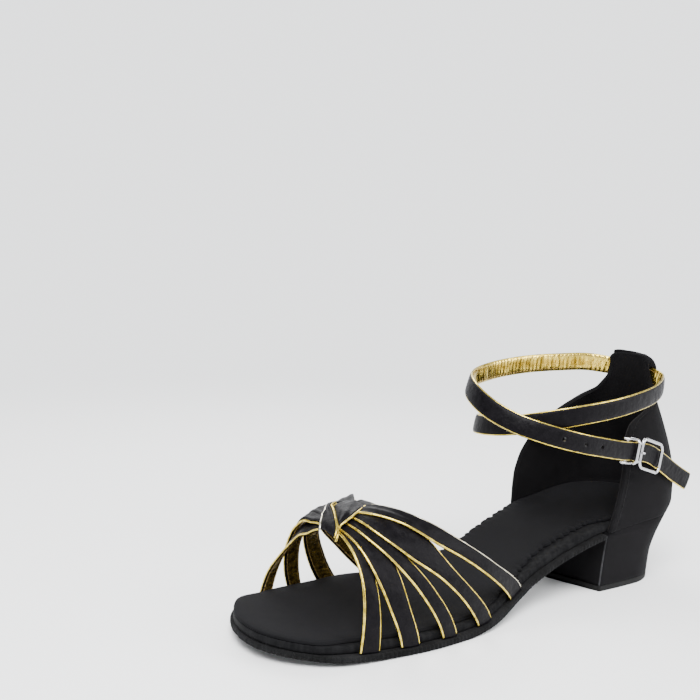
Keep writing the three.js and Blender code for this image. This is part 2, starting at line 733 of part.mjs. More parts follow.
function knotBand(rows) {
  const [lateral, medial, off] = ['lateral', 'medial', 'off'].map((column) => curve(rows, column));
  const first = rows[0].at;
  const last = rows[rows.length - 1].at;
  const across = [0, 0.14, 0.5, 0.86, 1];
  const crown = [0.75, 1, 1.05, 1, 0.75];
  const layer = (isOuter) => shares(12).map((share) => {
    const at = THREE.MathUtils.lerp(first, last, share);
    return across.map((side, j) => {
      const angle = THREE.MathUtils.lerp(lateral(at), medial(at), side);
      const height = isOuter ? vampStrapThickness * off(at) * crown[j] : knotDepth;
      return lastPoint(at * length, angle, height);
    });
  });
  return wall(layer(true), layer(false));
}

function vampGeometry() {
  const pieces = lateralStraps.flatMap((_, i) => [vampStrap(i, 1), vampStrap(i, -1)]);
  return join([...pieces, ...knotBands.map(knotBand)]);
}

// Ankle strap
const freePoint = (row) => new THREE.Vector3(
  row.along * ankleReach,
  row.side * ankleHalf,
  seatHeight + row.rise * counterRise,
);
const strapOff = clearance + loopSlack + ankleStrapThickness / 2;
// Direction of the strap's width at a free point: upright, and leaning in towards the middle of
// the ring where it lies on the foot's front.
function freeLean(row) {
  const front = THREE.MathUtils.smoothstep(row.along, 0.75, 1);
  const lean = THREE.MathUtils.degToRad(ankleLeanBack * front);
  const point = freePoint(row);
  const inward = new THREE.Vector3(ankleReach / 2 - point.x, -point.y, 0).normalize();
  return inward.multiplyScalar(Math.sin(lean)).setZ(Math.cos(lean));
}

const anklePath = new THREE.CatmullRomCurve3([
  ...ankleSewnEnd.map((row) => counterPoint(row.across, row.up, -counterWall - strapOff)),
  ...ankleInnerRound.map(freePoint),
  ...ankleInLoop.map((row) => counterPoint(row.across, row.up, strapOff)),
  ...ankleOuterRound.map(freePoint),
], false, 'centripetal');
const ankleLength = anklePath.getLength();
// The strap's width follows the counter where it lies against it.
const ankleLean = new THREE.CatmullRomCurve3([
  ...ankleSewnEnd.map((row) => counterSlope(row.across, row.up)),
  ...ankleInnerRound.map(freeLean),
  ...ankleInLoop.map((row) => counterSlope(row.across, row.up)),
  ...ankleOuterRound.map(freeLean),
], false, 'centripetal');

function ankleWidth(share) {
  return ankleLean.getPoint(anklePath.getUtoTmapping(share)).normalize();
}

// Place and directions of the ankle strap at a distance from the end of its tail.
function ankleFrame(distance) {
  const share = 1 - distance / ankleLength;
  const point = anklePath.getPointAt(share);
  const forward = anklePath.getTangentAt(share).negate();
  const lean = ankleWidth(share);
  const width = lean.clone().addScaledVector(forward, -lean.dot(forward)).normalize();
  const outward = new THREE.Vector3().crossVectors(forward, width).negate();
  if (outward.y < 0) outward.negate();
  return { point, forward, width, outward };
}

function punch({ point, outward }, radius) {
  const hole = new THREE.CylinderGeometry(radius, radius, 3 * ankleStrapThickness, 8);
  hole.applyQuaternion(new THREE.Quaternion().setFromUnitVectors(new THREE.Vector3(0, 1, 0), outward));
  hole.translate(point.x, point.y, point.z);
  return hole;
}

function ankleStrapGeometry() {
  const path = shares(ankleSteps).map((share) => anklePath.getPointAt(share));
  const directions = shares(ankleSteps).map(ankleWidth);
  const strap = bar(path, directions, strapSection(ankleStrapWidth, ankleStrapThickness));
  const distances = [buckleDistance, ...punchDistances];
  return cut(strap, distances.map((distance) => punch(ankleFrame(distance), punchRadius)));
}

// Buckle: its own directions are forward along the strap, up across it and out from the foot
const buckle = ankleFrame(buckleDistance);

function buckleSpot(forward, across, out) {
  return buckle.point.clone()
    .addScaledVector(buckle.forward, forward)
    .addScaledVector(buckle.width, across)
    .addScaledVector(buckle.outward, out);
}

const faceOut = ankleStrapThickness / 2 + 1.5 * clearance + wireRadius;
const prongBar = wireRadius + clearance + prongRadius; // the frame's front bar, forward of the hole
const keeperBar = prongBar + keeperGap;
const keeperHalf = ankleStrapWidth / 2 + 1.5 * clearance + wireRadius;
const keeperIn = faceOut + anchorThickness + clearance;

// Spots on a round of the given radius about a centre, in the plane across or along the strap.
function frameCorner(centre, radius, from) {
  return [0, 30, 60, 90].map((step) => {
    const angle = THREE.MathUtils.degToRad(from + step);
    const forward = centre.forward + radius * Math.cos(angle);
    const drop = (forward - prongBar) * windowDrop;
    return buckleSpot(forward, centre.across + radius * Math.sin(angle) + drop, faceOut);
  });
}

function buckleGeometry() {
  const wire = roundSection(wireRadius);
  const front = prongBar - windowCorner;
  const rear = prongBar - windowLength + windowCorner;
  const across = windowHalf - windowCorner;
  const outline = [
    ...frameCorner({ forward: front, across }, windowCorner, 0),
    ...frameCorner({ forward: rear, across }, windowCorner, 90),
    ...frameCorner({ forward: rear, across: -across }, windowCorner, 180),
    ...frameCorner({ forward: front, across: -across }, windowCorner, 270),
  ];
  const frame = bar(outline, outline.map(() => buckle.outward), wire, true);
  const bend = 1;
  const keeperLoop = [
    [keeperHalf - bend, faceOut], [keeperHalf, faceOut - bend],
    [keeperHalf, bend - keeperIn], [keeperHalf - bend, -keeperIn],
    [bend - keeperHalf, -keeperIn], [-keeperHalf, bend - keeperIn],
    [-keeperHalf, faceOut - bend], [bend - keeperHalf, faceOut],
  ].map(([side, out]) => buckleSpot(keeperBar, side, out));
  const keeper = bar(keeperLoop, keeperLoop.map(() => buckle.forward), wire, true);
  const arms = [1, -1].map((side) => {
    const path = [
      buckleSpot(keeperBar, side * keeperHalf, 0),
      buckleSpot(keeperBar + 0.8 * keeperReach, side * keeperHalf, 0),
      buckleSpot(keeperBar + keeperReach, side * keeperHalf, -armRadius),
    ];
    return bar(path, path.map(() => buckle.outward), roundSection(armRadius));
  });
  const links = [1, -1].map((side) => {
    const across = side * (windowHalf - windowCorner);
    const path = [buckleSpot(prongBar, across, faceOut), buckleSpot(keeperBar, across, faceOut)];
    return bar(path, path.map(() => buckle.outward), roundSection(armRadius));
  });
  return join([frame, keeper, ...arms, ...links]);
}

// Prong: a bent pin that hangs on the frame's front bar and goes down through the strap's hole
function prongGeometry() {
  const bend = [60, 90, 120, 150, 180].map((degrees) => {
    const angle = THREE.MathUtils.degToRad(degrees);
    return buckleSpot(prongBar * (1 + Math.cos(angle)), 0, faceOut + prongBar * Math.sin(angle));
  });
  const path = [...bend, buckleSpot(0, 0, 0), buckleSpot(0, 0, -ankleStrapThickness / 2)];
  return bar(path, path.map(() => buckle.width), roundSection(prongRadius));
}

// Anchor: a narrow strap from the counter's outer face, folded round the keeper's inner bar
function anchorGeometry() {
  const off = clearance + anchorThickness / 2;
  const onCounter = anchorSpan.map((across) => counterPoint(across, anchorUp, off));
  const reach = wireRadius + clearance + anchorThickness / 2;
  const fold = [90, 60, 30, 0, -30, -60, -90].map((degrees) => {
    const angle = THREE.MathUtils.degToRad(degrees);
    return buckleSpot(keeperBar + reach * Math.cos(angle), 0, reach * Math.sin(angle) - keeperIn);
  });
  const sewn = anchorSpan.map((across) => counterSlope(across, anchorUp));
  const leans = [...sewn, ...fold.map(() => buckle.width)];
  return bar([...onCounter, ...fold], leans, strapSection(anchorWidth, anchorThickness));
}

// Assembly
const finishes = {
  suede: { color: 0x1b1b1d, roughness: 0.95, metalness: 0 },
  satin: { color: 0x26232a, roughness: 0.5, metalness: 0 },
  sole: { color: 0x232325, roughness: 1, metalness: 0 },
  rubber: { color: 0x151515, roughness: 0.8, metalness: 0 },
  chrome: { color: 0xd8d8da, roughness: 0.15, metalness: 1 },
};

const pieces = [
  { name: 'outsole', finish: 'sole', geometry: outsoleGeometry() },
  { name: 'footbed', finish: 'suede', geometry: footbedGeometry() },
  { name: 'sock_lining', finish: 'suede', geometry: sockGeometry() },
  { name: 'heel_block', finish: 'suede', geometry: heelGeometry() },
  { name: 'heel_top_piece', finish: 'rubber', geometry: topPieceGeometry() },
  { name: 'heel_counter', finish: 'suede', geometry: counterGeometry() },
  { name: 'vamp_straps', finish: 'satin', geometry: vampGeometry() },
  { name: 'ankle_strap', finish: 'satin', geometry: ankleStrapGeometry() },
  { name: 'buckle_frame', finish: 'chrome', geometry: buckleGeometry() },
  { name: 'buckle_prong', finish: 'chrome', geometry: prongGeometry() },
  { name: 'buckle_anchor', finish: 'satin', geometry: anchorGeometry() },
];

const shoe = new THREE.Group();
for (const piece of pieces) {
  const mesh = new THREE.Mesh(piece.geometry, new THREE.MeshStandardMaterial(finishes[piece.finish]));
  mesh.name = piece.name;
  shoe.add(mesh);
}

const middle = new THREE.Box3().setFromObject(shoe).getCenter(new THREE.Vector3());
shoe.position.set(-middle.x, -middle.y, 0);
shoe.updateMatrixWorld(true);

const group = new THREE.Group();
group.add(shoe);

export default group;
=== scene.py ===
import math

import bmesh
import bpy
import numpy as np
from mathutils import Matrix, Vector


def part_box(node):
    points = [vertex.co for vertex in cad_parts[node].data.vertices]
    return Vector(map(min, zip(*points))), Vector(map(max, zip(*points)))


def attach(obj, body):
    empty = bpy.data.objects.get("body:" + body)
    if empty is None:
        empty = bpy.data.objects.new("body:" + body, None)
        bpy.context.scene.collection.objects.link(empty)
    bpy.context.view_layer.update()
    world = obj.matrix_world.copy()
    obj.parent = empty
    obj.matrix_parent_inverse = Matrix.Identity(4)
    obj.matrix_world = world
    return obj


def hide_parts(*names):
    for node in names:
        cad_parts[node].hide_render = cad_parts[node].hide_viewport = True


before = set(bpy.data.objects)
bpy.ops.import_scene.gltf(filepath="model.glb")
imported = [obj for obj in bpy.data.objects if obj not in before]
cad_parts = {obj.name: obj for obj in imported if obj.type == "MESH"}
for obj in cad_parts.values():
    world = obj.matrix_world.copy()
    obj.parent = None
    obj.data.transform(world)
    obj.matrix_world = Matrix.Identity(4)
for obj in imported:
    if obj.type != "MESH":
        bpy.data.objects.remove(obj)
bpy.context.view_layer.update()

MM = 0.001

# Sizes of the shoe as in the solids, in millimetres, degrees or shares. Places along the shoe
# count from the back of the seat, with +X to the toe, +Y to the outer side and +Z up.
LENGTH = 245.0
BALL_WIDTH = 80.0
WAIST_WIDTH = 54.0
SEAT_WIDTH = 61.5
TOE_ROUND = 29.0
TOE_FULLNESS = 2.2
HEEL_LIFT = 31.4
TOE_SPRING = 4.0
OUTSOLE_THICKNESS = 2.6
OUTSOLE_RIM = 1.1
FOOTBED_THICKNESS = 3.4
SOCK_THICKNESS = 1.3
SOCK_MARGIN = 2.2
OUTER_WAIST_MARGIN = 6.0
INNER_WAIST_MARGIN = 0.2
TOE_INSET = 0.6
TOE_MARGIN = 0.7
CLEARANCE = 0.3
BREAST_REACH = 66.0
BREAST_SKEW = 6.0
TOP_PIECE_HEIGHT = 2.6
COUNTER_WALL = 2.0
COUNTER_RISE = 76.0
LOOP_WALL = 1.4
LOOP_SLACK = 0.35
LOOP_TILT = 0.022
LOOP_SPAN = (-0.84, 0.93)
VAMP_STRAP_THICKNESS = 1.8
VAMP_HEIGHT = 90.0
THROAT_DROP = 4.6
LATERAL_FULLNESS = 0.82
MEDIAL_FULLNESS = 1.16
# How far a vamp strap's front edge lies over the strap before it, how far its end dives under
# the knot, and how far its piping goes in where it is covered
SHINGLE = 1.1
TUCK_DEPTH = 2.6
PIPING_TUCK = 1.5
# Degrees up from the sole's edge to each strap's end under the knot
OUTER_REACHES = [84.0, 87.0, 90.0, 92.0, 94.0]
INNER_REACHES = [88.0, 88.0, 86.0, 86.0, 86.0]
ANKLE_STRAP_WIDTH = 8.7
ANKLE_STRAP_THICKNESS = 1.9
ANKLE_REACH = 124.0
ANKLE_HALF = 35.0
ANKLE_LEAN_BACK = 21.0
PUNCH_RADIUS = 1.0
WIRE_RADIUS = 0.8
WINDOW_LENGTH = 18.5
WINDOW_HALF = 6.8
WINDOW_CORNER = 2.5
WINDOW_DROP = 0.13
KEEPER_GAP = 3.0
KEEPER_REACH = 8.0
KEEPER_CORNER = 1.6
ARM_RADIUS = 0.65
PRONG_RADIUS = 0.5
ANCHOR_WIDTH = 6.5
ANCHOR_THICKNESS = 1.2
ANCHOR_UP = 0.43
ANCHOR_SPAN = [0.72, 0.82, 0.92]

# Trim that the solids leave out, in millimetres
PINKING_PITCH = 3.8
BINDING_WIDTH = 4.0
BINDING_RISE = 0.45
FRONT_PIPING_RADIUS = 0.56
REAR_PIPING_RADIUS = 0.4
BAND_PIPING_RADIUS = 0.5
SECOND_PIPING_RADIUS = 0.4
PALE_BAND_PIPING_RADIUS = 0.45
ANKLE_PIPING_RADIUS = 0.5
BREAST_FOLD_RADIUS = 0.42
VAMP_PLEAT_PITCH = 2.4
ANKLE_PLEAT_PITCH = 2.3
ANKLE_PLEAT_DEPTH = 0.42
STITCH_PITCH = 2.3
VAMP_STITCH_PITCH = 2.2
KNOT_BAND_THICKNESS = 1.5
HEEL_CORNER = 1.2

# How far the tab's corners drop, as a share of the counter's height, and how much of a vamp
# strap's width each turned edge takes
TAB_ROUNDING = 0.04
TURNED_EDGE = 0.13

# Places along the ankle strap, from its tail
PUNCH_DISTANCES = [81.0, 92.0, 104.0]
BUCKLE_DISTANCE = 50.0

# Camera, solved from the photograph's 700 x 700 pixels
PHOTO_SIZE = 700
CAMERA_PLACE = (443.5, 312.2, 163.2)
CAMERA_FORWARD = (-0.5871, -0.7810, -0.2129)
CAMERA_RIGHT = (-0.8038, 0.5936, 0.0391)
FOCAL_PIXELS = 999.8
PRINCIPAL_POINT = (328.34, 451.50)

# Studio, in metres
WORLD_COLOR = (0.97, 0.985, 1.0)
WORLD_STRENGTH = 2.3
FLOOR_COLOR = (0.86, 0.865, 0.87)
FLOOR_SIZE = 12
# Brightness of the sky at the sines of heights over the horizon
SKY_BANDS = [(0.0, 1.0), (0.24, 1.0), (0.34, 0.12), (0.5, 0.1), (0.62, 0.9), (0.8, 0.55), (1.0, 0.15)]
# Distances over which the floor fades into the studio's light
FLOOR_FADE = (0.28, 0.75)
# Area lights: name, place, target, size and power in watts
LIGHTS = [
    ("key", (0.45, 0.45, 1.0), (0, 0, 0.03), (0.7, 0.7), 34),
    ("fill", (-0.6, 0.7, 0.5), (0, 0, 0.05), (0.5, 0.5), 8),
    ("rim", (-0.3, -0.9, 0.8), (0, 0, 0.05), (1.0, 0.5), 14),
]


def table(columns, rows):
    """A table's columns by name, each as an array."""
    return {name: np.array([row[i] for row in rows], float) for i, name in enumerate(columns.split())}


OUTLINE = table("at width lateral medial", [
    (0.0, SEAT_WIDTH, 0.5, 0.5),
    (0.141, SEAT_WIDTH, 0.5, 0.5),
    (0.268, SEAT_WIDTH, 0.475, 0.465),
    (0.434, WAIST_WIDTH, 0.49, 0.5),
    (0.61, BALL_WIDTH, 0.44, 0.485),
    (0.707, BALL_WIDTH, 0.455, 0.55),
    (0.824, BALL_WIDTH, 0.423, 0.534),
    (0.922, BALL_WIDTH, 0.365, 0.478),
    (1.0, BALL_WIDTH, 0.3, 0.385),
])
RISE = table("at heel toe", [
    (0.0, 1.0, 0), (0.122, 0.97, 0), (0.259, 0.86, 0), (0.356, 0.66, 0), (0.493, 0.26, 0),
    (0.59, 0.05, 0), (0.649, 0, 0), (0.746, 0, 0), (0.863, 0, 0.22), (1.0, 0, 1),
])
HEEL = table("up half back", [
    (0.0, 0.452, 0.142), (0.15, 0.455, 0.142), (0.4, 0.462, 0.136), (0.62, 0.472, 0.1),
    (0.82, 0.486, 0.048), (1.0, 0.5, 0),
])
COUNTER = table("up half back lateral medial", [
    (0.0, 0.5, 0.0, 0.955, 1.045),
    (0.07, 0.5, -0.045, 0.92, 1.05),
    (0.22, 0.492, -0.045, 0.865, 1.055),
    (0.34, 0.472, -0.015, 0.83, 1.03),
    (0.45, 0.445, 0.03, 0.8, 0.95),
    (0.54, 0.41, 0.072, 0.765, 0.84),
    (0.61, 0.372, 0.1, 0.69, 0.72),
    (0.69, 0.325, 0.13, 0.45, 0.53),
    (0.76, 0.285, 0.154, 0.265, 0.36),
    (0.87, 0.26, 0.19, 0.235, 0.3),
    (1.0, 0.26, 0.228, 0.265, 0.323),
])
LOOP = table("up inside outside", [
    (0.766, 0, 0.05), (0.786, 0, 0.4), (0.796, 0.6, 0.8), (0.806, 1, 1), (0.87, 1, 1),
    (0.932, 1, 1), (0.945, 0.6, 1), (0.957, 0, 0.96), (0.972, 0, 0.86), (0.985, 0, 0.66),
    (0.994, 0, 0.4), (0.999, 0, 0.05),
])
CREST = table("at height shift", [
    (0.32, 1, 0), (0.465, 0.85, 0.02), (0.563, 0.76, 0.035), (0.66, 0.674, 0.06),
    (0.76, 0.576, 0.085), (0.828, 0.51, 0.095), (0.905, 0.41, 0.1), (1.0, 0.28, 0.1),
])
STRAP_ANGLES = [0, 20, 40, 60, 82]
# Front and rear edges of the vamp's straps at those angles, as shares of the length, and how far
# each strap lies off the last at the knot, in strap thicknesses
LATERAL_STRAPS = [
    ([0.869, 0.859, 0.85, 0.844, 0.84], [0.833, 0.829, 0.825, 0.82, 0.812], 0),
    ([0.792, 0.816, 0.829, 0.834, 0.839], [0.755, 0.781, 0.8, 0.808, 0.804], 0.17),
    ([0.706, 0.753, 0.79, 0.814, 0.826], [0.673, 0.724, 0.761, 0.784, 0.792], 0.33),
    ([0.62, 0.698, 0.763, 0.796, 0.812], [0.584, 0.663, 0.72, 0.763, 0.776], 0.5),
    ([0.522, 0.622, 0.706, 0.753, 0.8], [0.482, 0.586, 0.665, 0.718, 0.759], 0.67),
]
MEDIAL_STRAPS = [
    ([0.873, 0.865, 0.857, 0.849, 0.844], [0.845, 0.837, 0.828, 0.822, 0.812], 0.6),
    ([0.8, 0.82, 0.833, 0.837, 0.839], [0.771, 0.788, 0.802, 0.808, 0.804], 1.9),
    ([0.727, 0.765, 0.796, 0.816, 0.826], [0.685, 0.727, 0.763, 0.786, 0.792], 2.2),
    ([0.618, 0.691, 0.757, 0.797, 0.812], [0.582, 0.654, 0.72, 0.764, 0.776], 1.9),
    ([0.523, 0.614, 0.7, 0.755, 0.8], [0.485, 0.578, 0.66, 0.717, 0.759], 1.4),
]
# Rear edges that reach further back, under the next strap: by how much, and from which angle up
TUCKS = {(1, 0): (1.0, 24), (1, 1): (3.8, 8), (1, 2): (2.0, 36), (1, 3): (5.6, 20), (-1, 1): (1.5, 30)}
TUCK_SPAN = 36.0
# The strap on the outer side whose rear piping is covered at the top
COVERED_STRAP = 3
# How the lifts grow up each side, and the first inner strap's drop, as shares of their most
GATHER = table("angle lateral medial drop", [
    (0, 0, 0, 0), (20, 0, 0, 0.2), (40, 0.2, 0.1, 0.78), (55, 0.65, 0.5, 1), (70, 0.97, 1, 0.98),
    (82, 1, 0.95, 0.7), (96, 1, 0.7, 0.3),
])
# Bands of the knot, from back to front: angles of both edges, and height in strap thicknesses
KNOT_BANDS = [
    table("at lateral medial off", [
        (0.764, 100, 108, 0.4), (0.774, 99, 107.5, 1.3), (0.787, 97.5, 107, 2.2),
        (0.802, 94.6, 104, 2.8), (0.816, 89.8, 98.5, 3.35), (0.833, 81.8, 91, 3.3),
        (0.849, 72.2, 87, 3.1), (0.858, 68.5, 84, 2.75),
    ]),
    table("at lateral medial off", [
        (0.762, 84, 101, 0.9), (0.775, 82.4, 100, 1.5), (0.789, 80.2, 98, 2.15),
        (0.803, 78.2, 95, 2.7), (0.816, 76.6, 90, 3.1), (0.839, 75.9, 80, 2.8),
    ]),
]
# Where each band's piping comes out at the back of the knot, as shares of the length
KNOT_PIPING_STARTS = [0.801, 0.763]
ANKLE_INNER_ROUND = [
    (0.57, -0.655, 0.515), (0.69, -0.725, 0.54), (0.8, -0.7, 0.562), (0.87, -0.54, 0.58),
    (0.914, -0.28, 0.594), (0.925, 0, 0.61), (0.918, 0.26, 0.634), (0.886, 0.51, 0.664),
    (0.825, 0.74, 0.697), (0.742, 0.905, 0.725), (0.605, 0.98, 0.75), (0.46, 0.955, 0.775),
    (0.323, 0.85, 0.798), (0.22, 0.695, 0.82), (0.15, 0.515, 0.837),
]
ANKLE_OUTER_ROUND = [
    (0.22, -0.62, 0.913), (0.323, -0.8, 0.908), (0.468, -0.93, 0.898), (0.63, -0.945, 0.88),
    (0.775, -0.845, 0.858), (0.89, -0.63, 0.844), (0.965, -0.36, 0.823), (1.002, -0.07, 0.782),
    (1.004, 0.2, 0.731), (0.972, 0.5, 0.675), (0.922, 0.735, 0.637), (0.848, 0.9, 0.599),
    (0.752, 0.985, 0.56), (0.65, 1, 0.525), (0.54, 0.985, 0.489), (0.44, 0.955, 0.463),
    (0.35, 0.926, 0.432), (0.25, 0.9, 0.358), (0.15, 0.882, 0.27), (0.055, 0.87, 0.196),
]
ANKLE_SEWN_END = [(-0.72, 0.47), (-0.84, 0.48), (-0.96, 0.495)]
ANKLE_IN_LOOP = [(0.95, 0.85), (0.5, 0.859), (0, 0.869), (-0.5, 0.88), (-0.95, 0.894)]


# Curves and surfaces that the solids follow


def curve(at, values):
    """A smooth function through a table's column that never overshoots its rows."""
    at = np.asarray(at, float)
    values = np.asarray(values, float)
    rise = np.diff(values) / np.diff(at)
    slope = np.concatenate([[rise[0]], np.zeros(len(at) - 2), [rise[-1]]])
    for i in range(1, len(at) - 1):
        if rise[i - 1] * rise[i] > 0:
            slope[i] = 2 * rise[i - 1] * rise[i] / (rise[i - 1] + rise[i])

    def value(x):
        x = np.clip(x, at[0], at[-1])
        i = np.clip(np.searchsorted(at, x, side="right") - 1, 0, len(at) - 2)
        step = at[i + 1] - at[i]
        t = (x - at[i]) / step
        ease = t * t * (3 - 2 * t)
        bend = slope[i] * t * (1 - t) ** 2 - slope[i + 1] * t * t * (1 - t)
        return values[i] * (1 - ease) + values[i + 1] * ease + step * bend

    return value


def smoothstep(x, low, high):
    t = np.clip((np.asarray(x, float) - low) / (high - low), 0, 1)
    return t * t * (3 - 2 * t)


def run_lengths(path):
    """Distances along a path of points, from its first."""
    return np.append(0, np.cumsum(np.linalg.norm(np.diff(path, axis=0), axis=1)))


def unit(vectors):
    return vectors / np.maximum(np.linalg.norm(vectors, axis=-1, keepdims=True), 1e-12)


outline_lateral = curve(OUTLINE["at"], OUTLINE["width"] * OUTLINE["lateral"])
outline_medial = curve(OUTLINE["at"], OUTLINE["width"] * OUTLINE["medial"])
heel_rise = curve(RISE["at"], RISE["heel"])
toe_rise = curve(RISE["at"], RISE["toe"])
SEAT_RADIUS = SEAT_WIDTH / 2


def half_width(side, x):
    """Half width of the upper's outline, on the outer (1) or the inner (-1) side."""
    x = np.asarray(x, float)
    heel_end = np.clip(x / SEAT_RADIUS, 0, 1)
    toe_end = np.clip((LENGTH - x) / TOE_ROUND, 0, 1)
    round_end = np.sqrt(np.maximum(1 - (1 - heel_end) ** 2, 0))
    blunt_end = np.maximum(1 - (1 - toe_end) ** TOE_FULLNESS, 0) ** (1 / TOE_FULLNESS)
    width = np.where(np.asarray(side) > 0, outline_lateral(x / LENGTH), outline_medial(x / LENGTH))
    return width * round_end * blunt_end


def tread_height(x):
    return HEEL_LIFT * heel_rise(x / LENGTH) + TOE_SPRING * toe_rise(x / LENGTH)


def outsole_top(x):
    return tread_height(x) + OUTSOLE_THICKNESS


def footbed_base(x):
    return outsole_top(x) + CLEARANCE


def footbed_top(x):
    return footbed_base(x) + FOOTBED_THICKNESS


def sock_base(x):
    return footbed_top(x) + CLEARANCE


SEAT_HEIGHT = float(footbed_base(0.0))
TAB_TOP = SEAT_HEIGHT + COUNTER_RISE
FOOTBED_INSET = COUNTER_WALL + CLEARANCE

crest_height = curve(CREST["at"], CREST["height"])
crest_shift = curve(CREST["at"], CREST["shift"])


def last_point(x, angle, off):
    """A point over the forefoot: angle runs from 0 at the outer edge of the sole over the crest to
    180 degrees at its inner edge, and off stands out from the last."""
    x, angle, off = np.broadcast_arrays(
        np.asarray(x, float), np.asarray(angle, float), np.asarray(off, float))
    turn = np.radians(np.clip(angle, 0, 180))
    edge = CLEARANCE - FOOTBED_INSET + off
    lateral = half_width(1, x) + edge
    medial = -(half_width(-1, x) + edge)
    middle = (lateral + medial) / 2
    reach = (lateral - medial) / 2
    base = footbed_base(x)
    crest = VAMP_HEIGHT * crest_height(x / LENGTH) - base + off
    cosine = np.cos(turn)
    sine = np.maximum(np.sin(turn), 0)
    lean = (-crest_shift(x / LENGTH) * BALL_WIDTH - middle) * sine ** 1.5
    fullness = np.where(cosine < 0, MEDIAL_FULLNESS, LATERAL_FULLNESS)
    y = middle + reach * np.sign(cosine) * np.abs(cosine) ** fullness + lean
    return np.stack([x, y, base + crest * sine ** fullness], axis=-1)


counter_half = curve(COUNTER["up"], COUNTER["half"])
counter_back = curve(COUNTER["up"], COUNTER["back"])
counter_lateral = curve(COUNTER["up"], COUNTER["lateral"])
counter_medial = curve(COUNTER["up"], COUNTER["medial"])


def arc_length(from_back, round_radius):
    """The way along a rounded back and its straight side, to a distance from the back."""
    share = np.clip(1 - from_back / round_radius, -1, 1)
    beyond = round_radius * math.pi / 2 + from_back - round_radius
    return np.where(from_back < round_radius, round_radius * np.arccos(share), beyond)


def along_arc(arc, round_radius):
    """The distance from the back at the end of such a way."""
    quarter = round_radius * math.pi / 2
    on_round = round_radius * (1 - np.cos(arc / round_radius))
    return np.where(arc < quarter, on_round, round_radius + arc - quarter)


def seat_half(side, from_back, scale):
    """Half width of a section whose round end is scaled to its own width."""
    round_radius = scale * SEAT_RADIUS
    reach = np.where(from_back < round_radius, from_back / scale, SEAT_RADIUS + from_back - round_radius)
    return scale * half_width(side, reach)


def counter_face(across, up):
    """A point of the counter's outer face: across runs from -1 at the inner front edge over 0 at
    the back to 1 at the outer front edge, and up from 0 at the seat to 1 at the tab's top."""
    across, up = np.broadcast_arrays(np.asarray(across, float), np.asarray(up, float))
    side = np.where(across < 0, -1, 1)
    scale = 2 * counter_half(up)
    round_radius = scale * SEAT_RADIUS
    back = BREAST_REACH * counter_back(up)
    front = BREAST_REACH * np.where(across < 0, counter_medial(up), counter_lateral(up))
    from_back = along_arc(np.abs(across) * arc_length(front - back, round_radius), round_radius)
    x = back + from_back
    z = footbed_base(x) * (1 - up) + TAB_TOP * up
    return np.stack([x, side * seat_half(side, from_back, scale), z], axis=-1)


def counter_slope(across, up):
    """The direction up the counter's outer face."""
    step = 1e-3
    above = counter_face(across, np.minimum(np.asarray(up, float) + step, 1))
    return unit(above - counter_face(across, np.maximum(np.asarray(up, float) - step, 0)))


def counter_point(across, up, off):
    """A point that stands off the counter's outer face, with minus to its inside."""
    across, up, off = np.broadcast_arrays(
        np.asarray(across, float), np.asarray(up, float), np.asarray(off, float))
    step = 1e-3
    along = counter_face(across + step, up) - counter_face(across - step, up)
    outward = unit(np.cross(along, counter_slope(across, up)))
    facing = outward[..., 1] * across + np.where(np.abs(across) < 1e-9, -outward[..., 0], 0)
    outward = outward * np.where(facing < 0, -1, 1)[..., None]
    return counter_face(across, up) + outward * off[..., None]


def catmull_rom(points, t):
    """Centripetal Catmull-Rom curve through points, at parameters from 0 to 1."""
    points = np.asarray(points, float)
    last = len(points) - 1
    place = np.clip(t, 0, 1) * last
    i = np.minimum(place.astype(int), last - 1)
    weight = (place - i)[:, None]
    before = np.where((i > 0)[:, None], points[np.maximum(i - 1, 0)], 2 * points[0] - points[1])
    after_rows = points[np.minimum(i + 2, last)]
    after = np.where((i + 2 <= last)[:, None], after_rows, 2 * points[last] - points[last - 1])
    a, b = points[i], points[i + 1]

    def knot(p, q):
        return np.sum((q - p) ** 2, axis=1)[:, None] ** 0.25

    d1 = np.maximum(knot(a, b), 1e-4)
    d0 = np.maximum(knot(before, a), 1e-4)
    d2 = np.maximum(knot(b, after), 1e-4)
    leave = ((a - before) / d0 - (b - before) / (d0 + d1) + (b - a) / d1) * d1
    arrive = ((b - a) / d1 - (after - a) / (d1 + d2) + (after - b) / d2) * d1
    c2 = -3 * a + 3 * b - 2 * leave - arrive
    c3 = 2 * a - 2 * b + leave + arrive
    return a + leave * weight + c2 * weight ** 2 + c3 * weight ** 3


def free_point(row):
    """A point of the ankle strap's way where it hangs free, from its row of shares."""
    along, side, rise = row
    return np.array([along * ANKLE_REACH, side * ANKLE_HALF, SEAT_HEIGHT + rise * COUNTER_RISE])


def free_lean(row):
    """The direction across the strap at such a point, which leans in at the instep."""
    front = float(smoothstep(row[0], 0.75, 1))
    lean = math.radians(ANKLE_LEAN_BACK * front)
    point = free_point(row)
    inward = unit(np.array([ANKLE_REACH / 2 - point[0], -point[1], 0.0]))
    return inward * math.sin(lean) + np.array([0, 0, math.cos(lean)])


STRAP_OFF = CLEARANCE + LOOP_SLACK + ANKLE_STRAP_THICKNESS / 2
ankle_knots = np.array(
    [counter_point(a, u, -COUNTER_WALL - STRAP_OFF) for a, u in ANKLE_SEWN_END]
    + [free_point(row) for row in ANKLE_INNER_ROUND]
    + [counter_point(a, u, STRAP_OFF) for a, u in ANKLE_IN_LOOP]
    + [free_point(row) for row in ANKLE_OUTER_ROUND])
ankle_leans = np.array(
    [counter_slope(a, u) for a, u in ANKLE_SEWN_END]
    + [free_lean(row) for row in ANKLE_INNER_ROUND]
    + [counter_slope(a, u) for a, u in ANKLE_IN_LOOP]
    + [free_lean(row) for row in ANKLE_OUTER_ROUND])
PATH_STEPS = np.linspace(0, 1, 6001)
path_points = catmull_rom(ankle_knots, PATH_STEPS)
path_runs = run_lengths(path_points)
ANKLE_LENGTH = path_runs[-1]


